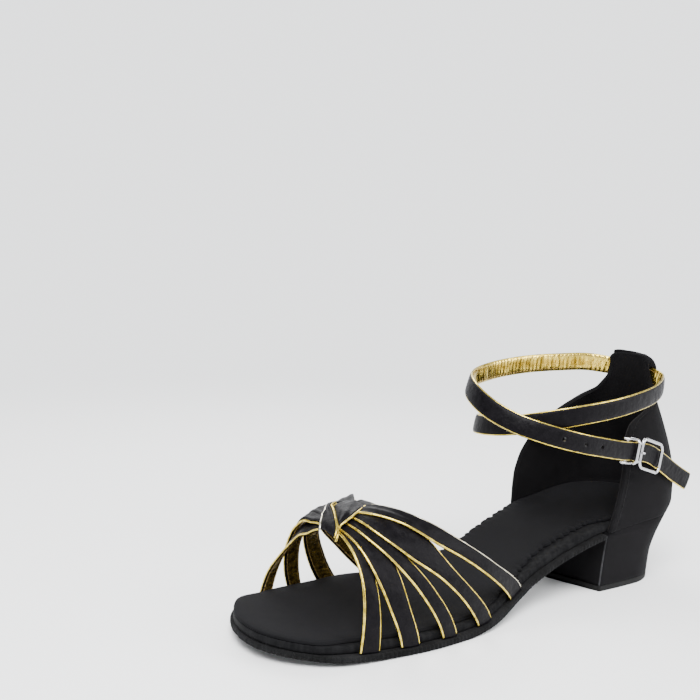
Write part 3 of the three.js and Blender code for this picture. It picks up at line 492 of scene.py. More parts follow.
def ankle_frames(distances):
    """Places, directions along, across and out of the ankle strap, at distances from its tail."""
    runs = ANKLE_LENGTH - np.atleast_1d(np.asarray(distances, float))
    t = np.interp(runs, path_runs, PATH_STEPS)
    point = catmull_rom(ankle_knots, t)
    step = 1e-4
    along = unit(catmull_rom(ankle_knots, t + step) - catmull_rom(ankle_knots, t - step))
    lean = unit(catmull_rom(ankle_leans, t))
    width = unit(lean - along * np.sum(lean * along, axis=1)[:, None])
    outward = np.cross(along, width)
    return point, -along, width, outward


# The middle of the solids' footprint is the origin.
stations = np.linspace(0, LENGTH, 2000)
SHIFT = np.array([
    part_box("outsole")[1][0] / MM - LENGTH - OUTSOLE_RIM,
    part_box("outsole")[0][1] / MM + float(np.max(half_width(-1, stations))) + OUTSOLE_RIM,
    0.0,
])


# Mesh building


def grid_faces(rows, columns, start=0, wrap=False):
    """Quads of a grid of points, closed across its columns if asked."""
    faces = []
    spans = columns if wrap else columns - 1
    for i in range(rows - 1):
        for j in range(spans):
            here = start + i * columns
            there = here + columns
            nxt = (j + 1) % columns
            faces.append((here + j, here + nxt, there + nxt, there + j))
    return faces


def add_piece(name, points, faces, materials, slot, nodes=(), index=None):
    """A piece from points in the shoe's millimetres: its doubled points merged and faces out."""
    mesh = bpy.data.meshes.new(name)
    mesh.from_pydata(((np.asarray(points) + SHIFT) * MM).tolist(), [], faces)
    for material in materials:
        mesh.materials.append(material)
    if index is not None:
        mesh.polygons.foreach_set("material_index", index)
    work = bmesh.new()
    work.from_mesh(mesh)
    bmesh.ops.remove_doubles(work, verts=work.verts, dist=1e-6)
    bmesh.ops.dissolve_degenerate(work, edges=work.edges, dist=1e-7)
    bmesh.ops.recalc_face_normals(work, faces=work.faces)
    for face in work.faces:
        face.smooth = True
    work.to_mesh(mesh)
    work.free()
    piece = bpy.data.objects.new(name, mesh)
    bpy.context.scene.collection.objects.link(piece)
    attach(piece, "root")
    for node in nodes:
        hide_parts(node)
    return piece


def ring_faces(rings, columns):
    """Quads between closed rings of points."""
    return grid_faces(rings, columns, wrap=True)


def tube(path, radius, sides=10):
    """Points and faces of a round bar along a path, with rounded ends."""
    path = np.asarray(path, float)
    along = unit(np.gradient(path, axis=0))
    normal = np.zeros_like(path)
    normal[0] = unit(np.cross(along[0], [0.13, 0.29, 0.95]))
    for i in range(1, len(path)):
        normal[i] = unit(normal[i - 1] - along[i] * np.dot(normal[i - 1], along[i]))
    other = np.cross(along, normal)
    radii = np.full(len(path), float(radius))
    head, tail, sizes = [], [], []
    for share in (1.0, 0.85, 0.5):
        head.append(path[0] - along[0] * radius * share)
        tail.insert(0, path[-1] + along[-1] * radius * share)
        sizes.append(radius * math.sqrt(1 - share ** 2))
    count = len(head)
    path = np.concatenate([head, path, tail])
    normal = np.concatenate([[normal[0]] * count, normal, [normal[-1]] * count])
    other = np.concatenate([[other[0]] * count, other, [other[-1]] * count])
    radii = np.concatenate([sizes, radii, sizes[::-1]])
    turn = np.linspace(0, 2 * math.pi, sides, endpoint=False)[None, :, None]
    spread = np.cos(turn) * normal[:, None] + np.sin(turn) * other[:, None]
    points = path[:, None] + spread * radii[:, None, None]
    return points.reshape(-1, 3), ring_faces(len(path), sides)


def joined(parts):
    """One list of points and faces from several."""
    points, faces = [], []
    for some_points, some_faces in parts:
        start = sum(len(p) for p in points)
        points.append(np.asarray(some_points))
        faces.extend([tuple(i + start for i in face) for face in some_faces])
    return np.concatenate(points), faces


def shell(outer, inner):
    """Points, faces and material numbers of a closed shell between two grids: 0 outside, 1 inside."""
    rows, columns = outer.shape[:2]
    count = rows * columns
    points = np.concatenate([outer.reshape(-1, 3), inner.reshape(-1, 3)])
    outside = grid_faces(rows, columns)
    inside = grid_faces(rows, columns, count)
    rim = [i * columns for i in range(rows)]
    rim += [(rows - 1) * columns + j for j in range(1, columns)]
    rim += [i * columns + columns - 1 for i in range(rows - 2, -1, -1)]
    rim += list(range(columns - 2, 0, -1))
    edges = [(a, b, b + count, a + count) for a, b in zip(rim, rim[1:] + rim[:1])]
    return points, outside + inside + edges, [0] * len(outside) + [1] * len(inside) + [0] * len(edges)


def spaced(path, start, end, pitch):
    """Points at a pitch along a path, from a distance after its start to one before its end."""
    runs = run_lengths(path)
    marks = np.arange(start, runs[-1] - end, pitch)
    return np.stack([np.interp(marks, runs, path[:, k]) for k in range(3)], axis=1)


def stitches(points, along, outward, length=1.5, radius=0.17):
    """A thread's stitches: small rounded bars that lie along a seam."""
    made = []
    for point, direction, out in zip(points, along, outward):
        ends = np.linspace(-0.5, 0.5, 5)
        path = [point + direction * length * t - out * radius * 3.2 * t * t for t in ends]
        made.append(tube(path, radius, 6))
    return joined(made)


# Materials


class Finish:
    """A node material under construction."""

    def __init__(self, name, color, roughness, metallic=0.0, **sockets):
        self.material = bpy.data.materials.new(name)
        self.material.use_nodes = True
        self.nodes = self.material.node_tree.nodes
        self.links = self.material.node_tree.links
        self.shader = self.nodes["Principled BSDF"]
        sockets.update(Base_Color=(*color, 1), Roughness=roughness, Metallic=metallic)
        for socket, value in sockets.items():
            self.shader.inputs[socket.replace("_", " ")].default_value = value
        self.where = self.nodes.new("ShaderNodeTexCoord").outputs["Object"]
        self.height = None

    def noise(self, scale, detail=3.0, roughness=0.55, stretch=None):
        """Noise over the object, scale in features per millimetre."""
        node = self.nodes.new("ShaderNodeTexNoise")
        node.inputs["Scale"].default_value = scale / MM
        node.inputs["Detail"].default_value = detail
        node.inputs["Roughness"].default_value = roughness
        where = self.where
        if stretch:
            mapping = self.nodes.new("ShaderNodeMapping")
            mapping.inputs["Scale"].default_value = stretch
            self.links.new(self.where, mapping.inputs["Vector"])
            where = mapping.outputs["Vector"]
        self.links.new(where, node.inputs["Vector"])
        return node.outputs["Fac"]

    def ramp(self, value, low, high, to_low=0.0, to_high=1.0):
        """A value taken from one range to another, clamped."""
        node = self.nodes.new("ShaderNodeMapRange")
        ends = {"From Min": low, "From Max": high, "To Min": to_low, "To Max": to_high}
        for name, number in ends.items():
            node.inputs[name].default_value = number
        self.links.new(value, node.inputs["Value"])
        return node.outputs["Result"]

    def mix(self, factor, first, second):
        """A colour between two colours, either of them a colour or a socket."""
        node = self.nodes.new("ShaderNodeMix")
        node.data_type = "RGBA"
        self.links.new(factor, node.inputs["Factor"])
        for name, value in (("A", first), ("B", second)):
            target = next(s for s in node.inputs if s.name == name and s.type == "RGBA")
            if isinstance(value, tuple):
                target.default_value = (*value, 1)
            else:
                self.links.new(value, target)
        return next(s for s in node.outputs if s.type == "RGBA")

    def math(self, operation, first, second):
        node = self.nodes.new("ShaderNodeMath")
        node.operation = operation
        for socket, value in zip(node.inputs, (first, second)):
            if isinstance(value, (int, float)):
                socket.default_value = value
            else:
                self.links.new(value, socket)
        return node.outputs[0]

    def bump(self, height, depth, strength=1.0):
        """Adds relief of a depth in millimetres."""
        node = self.nodes.new("ShaderNodeBump")
        node.inputs["Strength"].default_value = strength
        node.inputs["Distance"].default_value = depth * MM
        self.links.new(height, node.inputs["Height"])
        if self.height is not None:
            self.links.new(self.height, node.inputs["Normal"])
        self.height = node.outputs["Normal"]
        self.links.new(self.height, self.shader.inputs["Normal"])

    def color(self, value):
        self.links.new(value, self.shader.inputs["Base Color"])

    def roughness(self, value):
        self.links.new(value, self.shader.inputs["Roughness"])


def satin():
    """Black satin with a faint violet sheen."""
    f = Finish("satin", (0.0022, 0.0018, 0.0025), 0.45, Sheen_Weight=0.015, Sheen_Roughness=0.3,
               Sheen_Tint=(0.6, 0.5, 0.7, 1), Specular_IOR_Level=0.065, Anisotropic=0.4)
    slub = f.noise(0.35, 4, 0.6)
    f.color(f.mix(f.ramp(slub, 0.35, 0.65), (0.0016, 0.0013, 0.0019), (0.0032, 0.0027, 0.0036)))
    f.roughness(f.ramp(slub, 0.3, 0.7, 0.34, 0.5))
    f.bump(f.noise(6.0, 2, 0.6, stretch=(1, 0.25, 1)), 0.03, 0.6)
    f.bump(f.noise(0.3, 4, 0.55), 0.5, 0.7)
    return f.material


def suede(name, dark, light, nap=0.04, fuzz=0.1):
    """Short-napped suede with rubbed patches."""
    f = Finish(name, dark, 0.9, Sheen_Weight=nap, Sheen_Roughness=0.45,
               Sheen_Tint=(0.7, 0.68, 0.74, 1), Specular_IOR_Level=0.06)
    fibre = f.noise(4.0, 3, 0.7)
    patch = f.noise(0.09, 5, 0.62)
    both = f.math("ADD", f.math("MULTIPLY", patch, 0.6), f.math("MULTIPLY", fibre, 0.4))
    f.color(f.mix(f.ramp(both, 0.4, 0.62), dark, light))
    f.roughness(f.ramp(patch, 0.3, 0.7, 0.82, 0.97))
    f.bump(fibre, fuzz, 0.8)
    f.bump(f.noise(0.9, 4, 0.6), fuzz, 0.5)
    return f.material


def foil(name, dark, light, roughness, crinkle, stretch=None):
    """Metallic foil leather, crinkled."""
    f = Finish(name, light, roughness, metallic=0.95)
    fine = f.noise(1.5, 3, 0.5)
    broad = f.noise(0.42, 3, 0.55, stretch=stretch)
    f.color(f.mix(f.ramp(broad, 0.35, 0.65), dark, light))
    f.roughness(f.ramp(fine, 0.3, 0.7, roughness * 0.7, roughness * 1.35))
    f.bump(broad, crinkle, 0.8)
    f.bump(fine, crinkle * 0.18, 0.7)
    return f.material


def chrome():
    f = Finish("chrome", (0.46, 0.46, 0.48), 0.06, metallic=1.0)
    wear = f.noise(0.8, 4, 0.6)
    f.roughness(f.ramp(wear, 0.35, 0.7, 0.04, 0.14))
    f.bump(f.noise(3.0, 2, 0.5), 0.01, 0.5)
    return f.material


def rubber():
    f = Finish("rubber", (0.005, 0.005, 0.005), 0.7, Specular_IOR_Level=0.15)
    grain = f.noise(3.0, 4, 0.6)
    f.color(f.mix(f.ramp(grain, 0.35, 0.65), (0.003, 0.003, 0.003), (0.008, 0.008, 0.008)))
    f.roughness(f.ramp(grain, 0.3, 0.7, 0.6, 0.85))
    f.bump(grain, 0.06, 0.6)
    return f.material


def wrap_cloth():
    """Dull dark cloth drawn round the platform's edge."""
    f = Finish("wrap_cloth", (0.004, 0.004, 0.0045), 0.8, Sheen_Weight=0.015, Specular_IOR_Level=0.06)
    pull = f.noise(0.5, 4, 0.6, stretch=(1, 1, 0.25))
    f.color(f.mix(f.ramp(pull, 0.4, 0.68), (0.0025, 0.0025, 0.003), (0.0075, 0.0075, 0.008)))
    f.bump(f.noise(4.0, 2, 0.6), 0.06, 0.6)
    f.bump(pull, 0.15, 0.6)
    return f.material


SATIN = satin()
COUNTER_SUEDE = suede("counter_suede", (0.0028, 0.0026, 0.003), (0.0055, 0.0052, 0.0058), 0.02)
SOCK_SUEDE = suede("sock_suede", (0.0028, 0.0028, 0.0032), (0.0052, 0.0052, 0.006), 0.025)
SOLE_SUEDE = suede("sole_suede", (0.003, 0.003, 0.003), (0.010, 0.010, 0.0105), 0.03, 0.3)
PIPING = foil("gold_piping", (0.36, 0.26, 0.03), (0.80, 0.62, 0.12), 0.22, 0.06)
PALE_PIPING = foil("pale_piping", (0.42, 0.38, 0.26), (0.80, 0.76, 0.62), 0.24, 0.05)
LINING = foil("gold_lining", (0.26, 0.17, 0.015), (0.92, 0.70, 0.14), 0.2, 0.4, stretch=(1, 1, 0.4))
# A darker copy of the gold lining for the inner straps: painted shade where their lining lies in the shoe's
# shadow
SHADED_LINING = foil("shaded_gold_lining", (0.085, 0.052, 0.012), (0.40, 0.27, 0.06), 0.3, 0.4)
# Lighter suede for the fold down the breast corner: a painted highlight along the corner
LIT_FOLD_SUEDE = suede("lit_fold_suede", (0.012, 0.012, 0.013), (0.045, 0.045, 0.048))
THREAD = suede("thread", (0.006, 0.006, 0.006), (0.014, 0.013, 0.015))
GOLD_THREAD = suede("gold_thread", (0.16, 0.10, 0.03), (0.34, 0.24, 0.09))
CHROME = chrome()
RUBBER = rubber()
WRAP_CLOTH = wrap_cloth()


# Sole


def outline_loop(start_lateral=0.0, start_medial=0.0, count=640):
    """The upper's outline as a closed loop of points in plan, with the way inward at each. It
    begins at the back, or straight across the shoe at the starts given."""
    sides = []
    for side, start in ((1, start_lateral), (-1, start_medial)):
        share = np.linspace(0, 1, count)
        straight = start > 0
        spread = np.sin(share * math.pi / 2) if straight else (1 - np.cos(share * math.pi)) / 2
        x = start + (LENGTH - start) * spread
        sides.append(np.stack([x, side * half_width(side, x)], axis=1))
    loop = np.concatenate([sides[0], sides[1][::-1]])
    step = np.roll(loop, -1, axis=0) - loop
    keep = np.linalg.norm(step, axis=1) > 1e-6
    loop = loop[keep]
    ahead = np.roll(loop, -1, axis=0)
    behind = np.roll(loop, 1, axis=0)
    tangent = unit(ahead - behind)
    inward = np.stack([tangent[:, 1], -tangent[:, 0]], axis=1)
    centre = np.array([LENGTH / 2, 0])
    flip = np.sum(inward * (centre - loop), axis=1) < 0
    inward[flip] *= -1
    return loop, inward


def toe_share(x):
    """0 behind the toe's rounded end and 1 in it."""
    return smoothstep(x / LENGTH, 0.885, 0.945)


def edge_inset(x, side):
    """The footbed's edge, in from the upper's outline, the same on both sides."""
    return FOOTBED_INSET + (TOE_INSET - FOOTBED_INSET) * toe_share(x)


def sock_inset(x, side):
    """The sock lining's edge, in from the upper's outline, pinked along the waist."""
    share = x / LENGTH
    waist = smoothstep(share, 0.22, 0.29) - smoothstep(share, 0.4, 0.5)
    margin = SOCK_MARGIN + (TOE_MARGIN - SOCK_MARGIN) * toe_share(x)
    waist_margin = np.where(side > 0, OUTER_WAIST_MARGIN, INNER_WAIST_MARGIN)
    pinked = smoothstep(x, 58, 66) * (1 - smoothstep(x, 128, 142))
    tooth = (x / PINKING_PITCH + 0.18 * np.sin(x * 0.9)) % 1.0
    notch = np.clip(1.6 * np.abs(2 * tooth - 1) - 0.75, 0, 0.85)
    ragged = 0.25 * np.sin(x * 2.3) * np.sin(x * 0.71)
    depth = np.where(side > 0, 1.5, 2.0)
    plain = edge_inset(x, side) + margin + (waist_margin - SOCK_MARGIN) * waist
    return plain + pinked * (depth * notch + ragged)


def outsole_inset(x, side):
    """The outsole's fuzzy rim, which dies away towards the breast."""
    rim = OUTSOLE_RIM * (0.25 + 0.75 * smoothstep(x, 75, 130)) * (1 - 0.5 * toe_share(x))
    fuzz = 0.14 * np.sin(x * 3.1 + side) + 0.2 * np.sin(x * 7.7) * np.sin(x * 1.3 + 2 * side)
    return -(rim - 0.15) + fuzz


def sheet_of_sole(rows, top, bottom, edge, start=(0.0, 0.0), inner=(0.8, 0.55, 0.3, 0.1, 0.0)):
    """A layer of the sole: rings up its edge by inset, inset at the toe and share of the
    thickness, then rings that close on the middle line, above and below."""
    loop, inward = outline_loop(*start)
    plain = edge(loop[:, 0], np.sign(loop[:, 1]))
    toe = toe_share(loop[:, 0])
    rings = []
    for inset, toe_inset, up in rows:
        plan = loop + inward * (plain + inset * (1 - toe) + toe_inset * toe)[:, None]
        height = bottom(plan[:, 0]) * (1 - up) + top(plan[:, 0]) * up
        rings.append(np.column_stack([plan, height]))
    base, crown = rings[0], rings[-1]

    def closing(ring, height):
        made = []
        for share in inner:
            points = ring.copy()
            points[:, 1] *= share
            points[:, 2] = height(points[:, 0])
            made.append(points)
        return made

    rings = closing(base, bottom)[::-1] + rings + closing(crown, top)
    points = np.concatenate(rings)
    return points, ring_faces(len(rings), len(loop))


def build_sole():
    edge = [
        (0.45, 0.6, 0.0), (0.15, 0.2, 0.06), (0, 0, 0.2), (0, 0, 0.7), (0.15, 0.2, 0.94),
        (0.45, 0.5, 1.0),
    ]
    lateral = BREAST_REACH - BREAST_SKEW / 2 + CLEARANCE + OUTSOLE_RIM
    medial = BREAST_REACH + BREAST_SKEW / 2 + CLEARANCE + OUTSOLE_RIM
    points, faces = sheet_of_sole(edge, outsole_top, tread_height, outsole_inset, (lateral, medial))
    add_piece("outsole_suede", points, faces, [SOLE_SUEDE], "sole_suede", ["outsole"])

    edge = [
        (0.6, 0.6, 0), (0.2, 0.2, 0.06), (0, 0, 0.2), (0, 0, 0.55), (0.18, 0.02, 0.75), (0.55, 0.06, 0.89),
        (1.05, 0.2, 0.97), (1.7, 0.5, 1),
    ]
    points, faces = sheet_of_sole(edge, footbed_top, footbed_base, edge_inset)
    add_piece("platform", points, faces, [WRAP_CLOTH], "platform_cover", ["footbed"])

    edge = [
        (0.1, -0.55, 0), (0, -0.6, 0.12), (0, -0.5, 0.4), (0.15, -0.1, 0.62), (0.45, 0.9, 0.8),
        (0.7, 2.6, 0.93), (0.95, 5.2, 1),
    ]
    points, faces = sheet_of_sole(edge, lambda x: sock_base(x) + SOCK_THICKNESS, sock_base, sock_inset)
    add_piece("sock", points, faces, [SOCK_SUEDE], "sock_suede", ["sock_lining"])


# Heel


HEEL_STEPS = 60
CORNER_STEPS = 6


def heel_loop(height):
    """The heel's section at a height, as a closed loop with two rounded breast corners."""
    up = min(height / SEAT_HEIGHT, 1)
    scale = 2 * float(curve(HEEL["up"], HEEL["half"])(up))
    back = BREAST_REACH * float(curve(HEEL["up"], HEEL["back"])(up))
    sides = []
    for side in (1, -1):
        front = BREAST_REACH - side * BREAST_SKEW / 2
        share = np.linspace(0, 1, HEEL_STEPS)
        x = back + (front - HEEL_CORNER - back) * (1 - np.cos(share * math.pi / 2))
        y = side * seat_half(side, x - back, scale)
        turn = np.radians(np.linspace(15, 90, CORNER_STEPS))
        round_x = front - HEEL_CORNER + HEEL_CORNER * np.sin(turn)
        round_y = y[-1] - side * HEEL_CORNER * (1 - np.cos(turn))
        sides.append(np.column_stack([np.append(x, round_x), np.append(y, round_y)]))
    return np.concatenate([sides[0], sides[1][::-1]])


def heel_rings(levels, top=None):
    """Sections of the heel at levels, and one more on a curved top if asked."""
    rings = []
    for height in levels:
        plan = heel_loop(height)
        rings.append(np.column_stack([plan, np.full(len(plan), height)]))
    if top is not None:
        plan = heel_loop(SEAT_HEIGHT)
        rings.append(np.column_stack([plan, top(plan[:, 0])]))
    return rings


def capped(rings):
    """Closes both ends of a stack of rings on their middle lines."""
    def cap(ring):
        flat = ring.copy()
        flat[:, 1] = 0
        return flat
    rings = [cap(rings[0])] + rings + [cap(rings[-1])]
    return np.concatenate(rings), ring_faces(len(rings), len(rings[0]))


def build_heel():
    base = TOP_PIECE_HEIGHT + CLEARANCE
    lowest = float(np.min(outsole_top(heel_loop(SEAT_HEIGHT)[:, 0])))
    levels = list(base + (lowest - base) * np.linspace(0, 0.97, 16))
    points, faces = capped(heel_rings(levels, lambda x: footbed_base(x) - 0.04))
    add_piece("heel_cover", points, faces, [COUNTER_SUEDE], "heel_suede", ["heel_block"])
    # A fold down the outer breast corner: its ridge is real, and its lighter suede is a painted highlight
    corner = []
    for height in np.linspace(base + 0.5, lowest - 0.5, 24):
        corner.append([*heel_loop(height)[HEEL_STEPS + CORNER_STEPS // 2], height])
    points, faces = tube(corner, BREAST_FOLD_RADIUS, 8)
    add_piece("breast_fold", points, faces, [LIT_FOLD_SUEDE], "heel_suede")
    points, faces = capped(heel_rings([0, 0.3, TOP_PIECE_HEIGHT - 0.2, TOP_PIECE_HEIGHT]))
    add_piece("top_piece", points, faces, [RUBBER], "top_piece", ["heel_top_piece"])


# Counter


def rounded_top(across, up):
    """Heights on the counter with the tab's two top corners rounded."""
    return up - TAB_ROUNDING * np.abs(across) ** 7 * smoothstep(up, 0.9, 1)


def build_counter():
    across = np.sin(np.linspace(-math.pi / 2, math.pi / 2, 201))
    up = np.linspace(0, 1, 101)
    grid_across, grid_up = np.meshgrid(across, up)
    grid_up = rounded_top(grid_across, grid_up)
    face = counter_face(grid_across, grid_up)
    steps = np.linalg.norm(np.diff(face, axis=1), axis=2)
    run = np.concatenate([np.zeros((len(up), 1)), np.cumsum(steps, axis=1)], axis=1)
    edge = np.minimum(run, run[:, -1:] - run)

    def layer(off):
        points = counter_point(grid_across, grid_up, off)
        points[0, :, 2] = footbed_base(points[0, :, 0])
        return points

    soft = 0.5 * (1 - smoothstep(edge, 0, 0.9))
    below_loop = 1 - smoothstep(grid_up, 0.7, 0.76)
    bound = BINDING_RISE * (1 - smoothstep(edge, BINDING_WIDTH - 0.3, BINDING_WIDTH + 0.2)) * below_loop
    pucker = 0.16 * np.sin(grid_up * 96) * np.exp(-((edge - BINDING_WIDTH - 0.8) / 1.2) ** 2) * below_loop
    wave = 0.12 * np.sin(grid_up * 11 + 3 * grid_across) * smoothstep(edge, 2, 8)
    outer = layer(bound - soft + pucker + wave * below_loop)
    points, faces, index = shell(outer, layer(-COUNTER_WALL + soft))
    covers = [COUNTER_SUEDE, COUNTER_SUEDE]
    add_piece("counter_cover", points, faces, covers, "heel_suede", ["heel_counter"], index)


def build_counter_stitches():
    """A row of stitches down each front edge, inside its binding."""
    seams = []
    for side in (1, -1):
        heights = np.linspace(0.05, 0.66, 400)
        seam_across = np.empty_like(heights)
        for i, height in enumerate(heights):
            reach = np.linspace(0.6, 1, 120)
            spots = counter_face(side * reach, np.full_like(reach, height))
            rest = np.cumsum(np.linalg.norm(np.diff(spots, axis=0), axis=1)[::-1])[::-1]
            seam_across[i] = side * np.interp(-(BINDING_WIDTH - 0.7), -rest, reach[:-1])
        path = counter_point(seam_across, heights, BINDING_RISE + 0.1)
        spots = spaced(path, 1, 0, STITCH_PITCH)
        outward = np.tile([0, side, 0], (len(spots), 1))
        seams.append(stitches(spots, unit(np.gradient(spots, axis=0)), outward))
    points, faces = joined(seams)
    add_piece("counter_stitches", points, faces, [THREAD], "heel_suede")


def build_tab_loop():
    """The loop on the counter's tab that the ankle strap passes through."""
    inside = curve(LOOP["up"], LOOP["inside"])
    outside = curve(LOOP["up"], LOOP["outside"])
    start, end = LOOP_SPAN
    rises = np.linspace(LOOP["up"][0], LOOP["up"][-1], 81)
    span, rise = np.meshgrid(np.linspace(start, end, 41), rises)
    low, high = -COUNTER_WALL / 2, LOOP_WALL / 4
    room = STRAP_OFF + ANKLE_STRAP_THICKNESS / 2 + 0.1
    cushion = 0.35 * pillow((span - start) / (end - start), 2)
    tilted = rounded_top(span, rise) - LOOP_TILT * span
    rise_out = room + LOOP_WALL * 0.65 - high + cushion
    outer = counter_point(span, tilted, high + rise_out * outside(rise))
    inner = counter_point(span, tilted, low + (room - low) * inside(rise))
    points, faces, index = shell(outer, inner)
    add_piece("tab_loop", points, faces, [COUNTER_SUEDE, COUNTER_SUEDE], "heel_suede", (), index)


# Straps


def pillow(share, power=3.0):
    """Height of a soft band across its width, 0 at both edges and 1 in the middle."""
    return (1 - np.abs(2 * share - 1) ** power) ** (1 / power)


gather_share = {1: curve(GATHER["angle"], GATHER["lateral"]), -1: curve(GATHER["angle"], GATHER["medial"])}
throat_share = curve(GATHER["angle"], GATHER["drop"])


def strap_surface(index, side, angle, share, off):
    """A point of a vamp strap: share 0 is its rear edge and 1 its front one, which lies on the
    strap in front of it."""
    fronts, rears, lift = (LATERAL_STRAPS if side > 0 else MEDIAL_STRAPS)[index]
    front = curve(STRAP_ANGLES, np.array(fronts) * LENGTH)
    rear = curve(STRAP_ANGLES, np.array(rears) * LENGTH)
    x = rear(angle) * (1 - share) + front(angle) * share
    reach, foot = TUCKS.get((side, index), (0, 0))
    x = x - reach * (1 - share) * smoothstep(angle, foot, foot + TUCK_SPAN)
    raised = lift * VAMP_STRAP_THICKNESS * gather_share[side](angle)
    tilt = raised + SHINGLE * (share - 0.15) * smoothstep(angle, 6, 45) * (1.0 if side > 0 else 0.45)
    hang = THROAT_DROP * share * throat_share(angle) if side < 0 and index == 0 else 0
    start, end = (80, 92) if side > 0 else (62, 78)
    dive = np.minimum(TUCK_DEPTH, np.maximum(tilt, 0)) * smoothstep(angle, start, end)
    return last_point(x, angle if side > 0 else 180 - angle, tilt - dive - hang + off)


def build_vamp_strap(index, side):
    """One vamp strap: satin outside, foil lining between turned edges, piping on both edges. The inner
    straps' lining is a darker copy of the gold foil, with painted shade.
    """
    reach = (OUTER_REACHES if side > 0 else INNER_REACHES)[index]
    angles = reach * np.linspace(0, 1, 120) ** 1.25
    share = 0.5 - 0.5 * np.cos(np.linspace(0, math.pi, 19))
    grid_share, grid_angle = np.meshgrid(share, angles)
    middle = VAMP_STRAP_THICKNESS / 2 - 0.1
    swell = pillow(grid_share) * (middle - 0.12)
    spine = strap_surface(index, side, angles, 0.5, 0)
    run = run_lengths(spine)[:, None]
    wander = 1.3 * np.sin(grid_share * 5 + index)
    depth = 0.2 if side > 0 else 0.07
    pleat = depth * np.sin(run * 2 * math.pi / VAMP_PLEAT_PITCH + wander) * pillow(grid_share, 2)
    drawn = smoothstep(grid_angle, 45, 80) * pillow(grid_share, 2)
    fold = 0.28 * np.sin(grid_share * 13 + 0.11 * run + index) * drawn
    ripple = 0.1 * np.sin(run * 0.55 + index) * np.sin(grid_share * 4 + 0.2 * run) * pillow(grid_share, 2)
    outer = strap_surface(index, side, grid_angle, grid_share, middle + swell + fold + ripple)
    inner = strap_surface(index, side, grid_angle, grid_share, middle - swell + pleat)
    name = f"{'outer' if side > 0 else 'inner'}_strap_{index + 1}"
    points, faces, material = shell(outer, inner)
    rows, columns = len(angles) - 1, len(share) - 1
    turned_in = (share[1:] < TURNED_EDGE) | (share[:-1] > 1 - TURNED_EDGE)
    material[rows * columns:2 * rows * columns] = np.tile(np.where(turned_in, 0, 1), rows).tolist()
    # The inner straps take the darker copy of the gold lining, which paints their shade
    lining = LINING if side > 0 else SHADED_LINING
    add_piece(name, points, faces, [SATIN, lining], "satin", ["vamp_straps"], material)

    dense = reach * np.linspace(0.004, 1, 150)
    tuck = PIPING_TUCK * smoothstep(dense, 50, 66) if side < 0 and index > 0 else 0 * dense
    covered = side > 0 and index == COVERED_STRAP
    cover = PIPING_TUCK * smoothstep(dense, 46, 60) if covered else tuck
    thick = tube(strap_surface(index, side, dense, 0.97, middle + 0.32 - tuck), FRONT_PIPING_RADIUS)
    thin = tube(strap_surface(index, side, dense, 0.03, middle + 0.1 - cover), REAR_PIPING_RADIUS)
    pale = index == len(LATERAL_STRAPS) - 1
    add_piece(name + "_front_piping", *thick, [PIPING], "gold_piping")
    add_piece(name + "_rear_piping", *thin, [PALE_PIPING if pale else PIPING], "gold_piping")
    if side < 0:
        seams = []
        for row in (0.14, 0.86):
            path = strap_surface(index, side, dense, row, middle - 0.72)
            spots = spaced(path, 1.5, 4, VAMP_STITCH_PITCH)
            upward = np.tile([0, 0, -1.0], (len(spots), 1))
            seams.append(stitches(spots, unit(np.gradient(spots, axis=0)), upward, 1.4, 0.15))
        add_piece(name + "_stitches", *joined(seams), [GOLD_THREAD], "gold_lining")


def build_knot():
    """The knot's two folded bands over the straps' ends, each with its piping."""
    for number, rows in enumerate(KNOT_BANDS):
        lateral, medial, off = (curve(rows["at"], rows[key]) for key in ("lateral", "medial", "off"))
        at = np.linspace(rows["at"][0], rows["at"][-1], 110)
        share = 0.5 - 0.5 * np.cos(np.linspace(0, math.pi, 31))

        def surface(grid_at, grid_share, lift=0.0):
            angle = lateral(grid_at) * (1 - grid_share) + medial(grid_at) * grid_share
            ends = np.minimum(grid_at - at[0], at[-1] - grid_at) * LENGTH
            rounding = np.sqrt(1 - (1 - np.clip(ends / 1.8, 0, 1)) ** 2)
            crown = 0.76 + 0.24 * pillow(grid_share, 2.5)
            fold = 0.16 * np.sin(grid_share * 16 + 40 * grid_at + number) * pillow(grid_share, 2)
            height = VAMP_STRAP_THICKNESS * off(grid_at) * crown + fold
            return last_point(grid_at * LENGTH, angle, height - 1.1 * (1 - rounding) + lift * rounding)

        grid_share, grid_at = np.meshgrid(share, at)
        name = f"knot_band_{number + 1}"
        outer = surface(grid_at, grid_share)
        points, faces, material = shell(outer, surface(grid_at, grid_share, -KNOT_BAND_THICKNESS))
        add_piece(name, points, faces, [SATIN, SATIN], "satin", (), material)

        def piping(place, lift, radius):
            start = max(rows["at"][0] + 0.001, KNOT_PIPING_STARTS[number])
            along = np.linspace(start, rows["at"][-1] - 0.0005, 130)
            return tube(surface(along, np.full_like(along, place), lift), radius)

        golds = [piping(0.0, 0.3, BAND_PIPING_RADIUS)]
        if number == 0:
            golds.append(piping(0.13, 0.25, SECOND_PIPING_RADIUS))
            pale = piping(1.0, 0.1, PALE_BAND_PIPING_RADIUS)
            add_piece(name + "_pale_piping", *pale, [PALE_PIPING], "gold_piping")
        add_piece(name + "_piping", *joined(golds), [PIPING], "gold_piping")


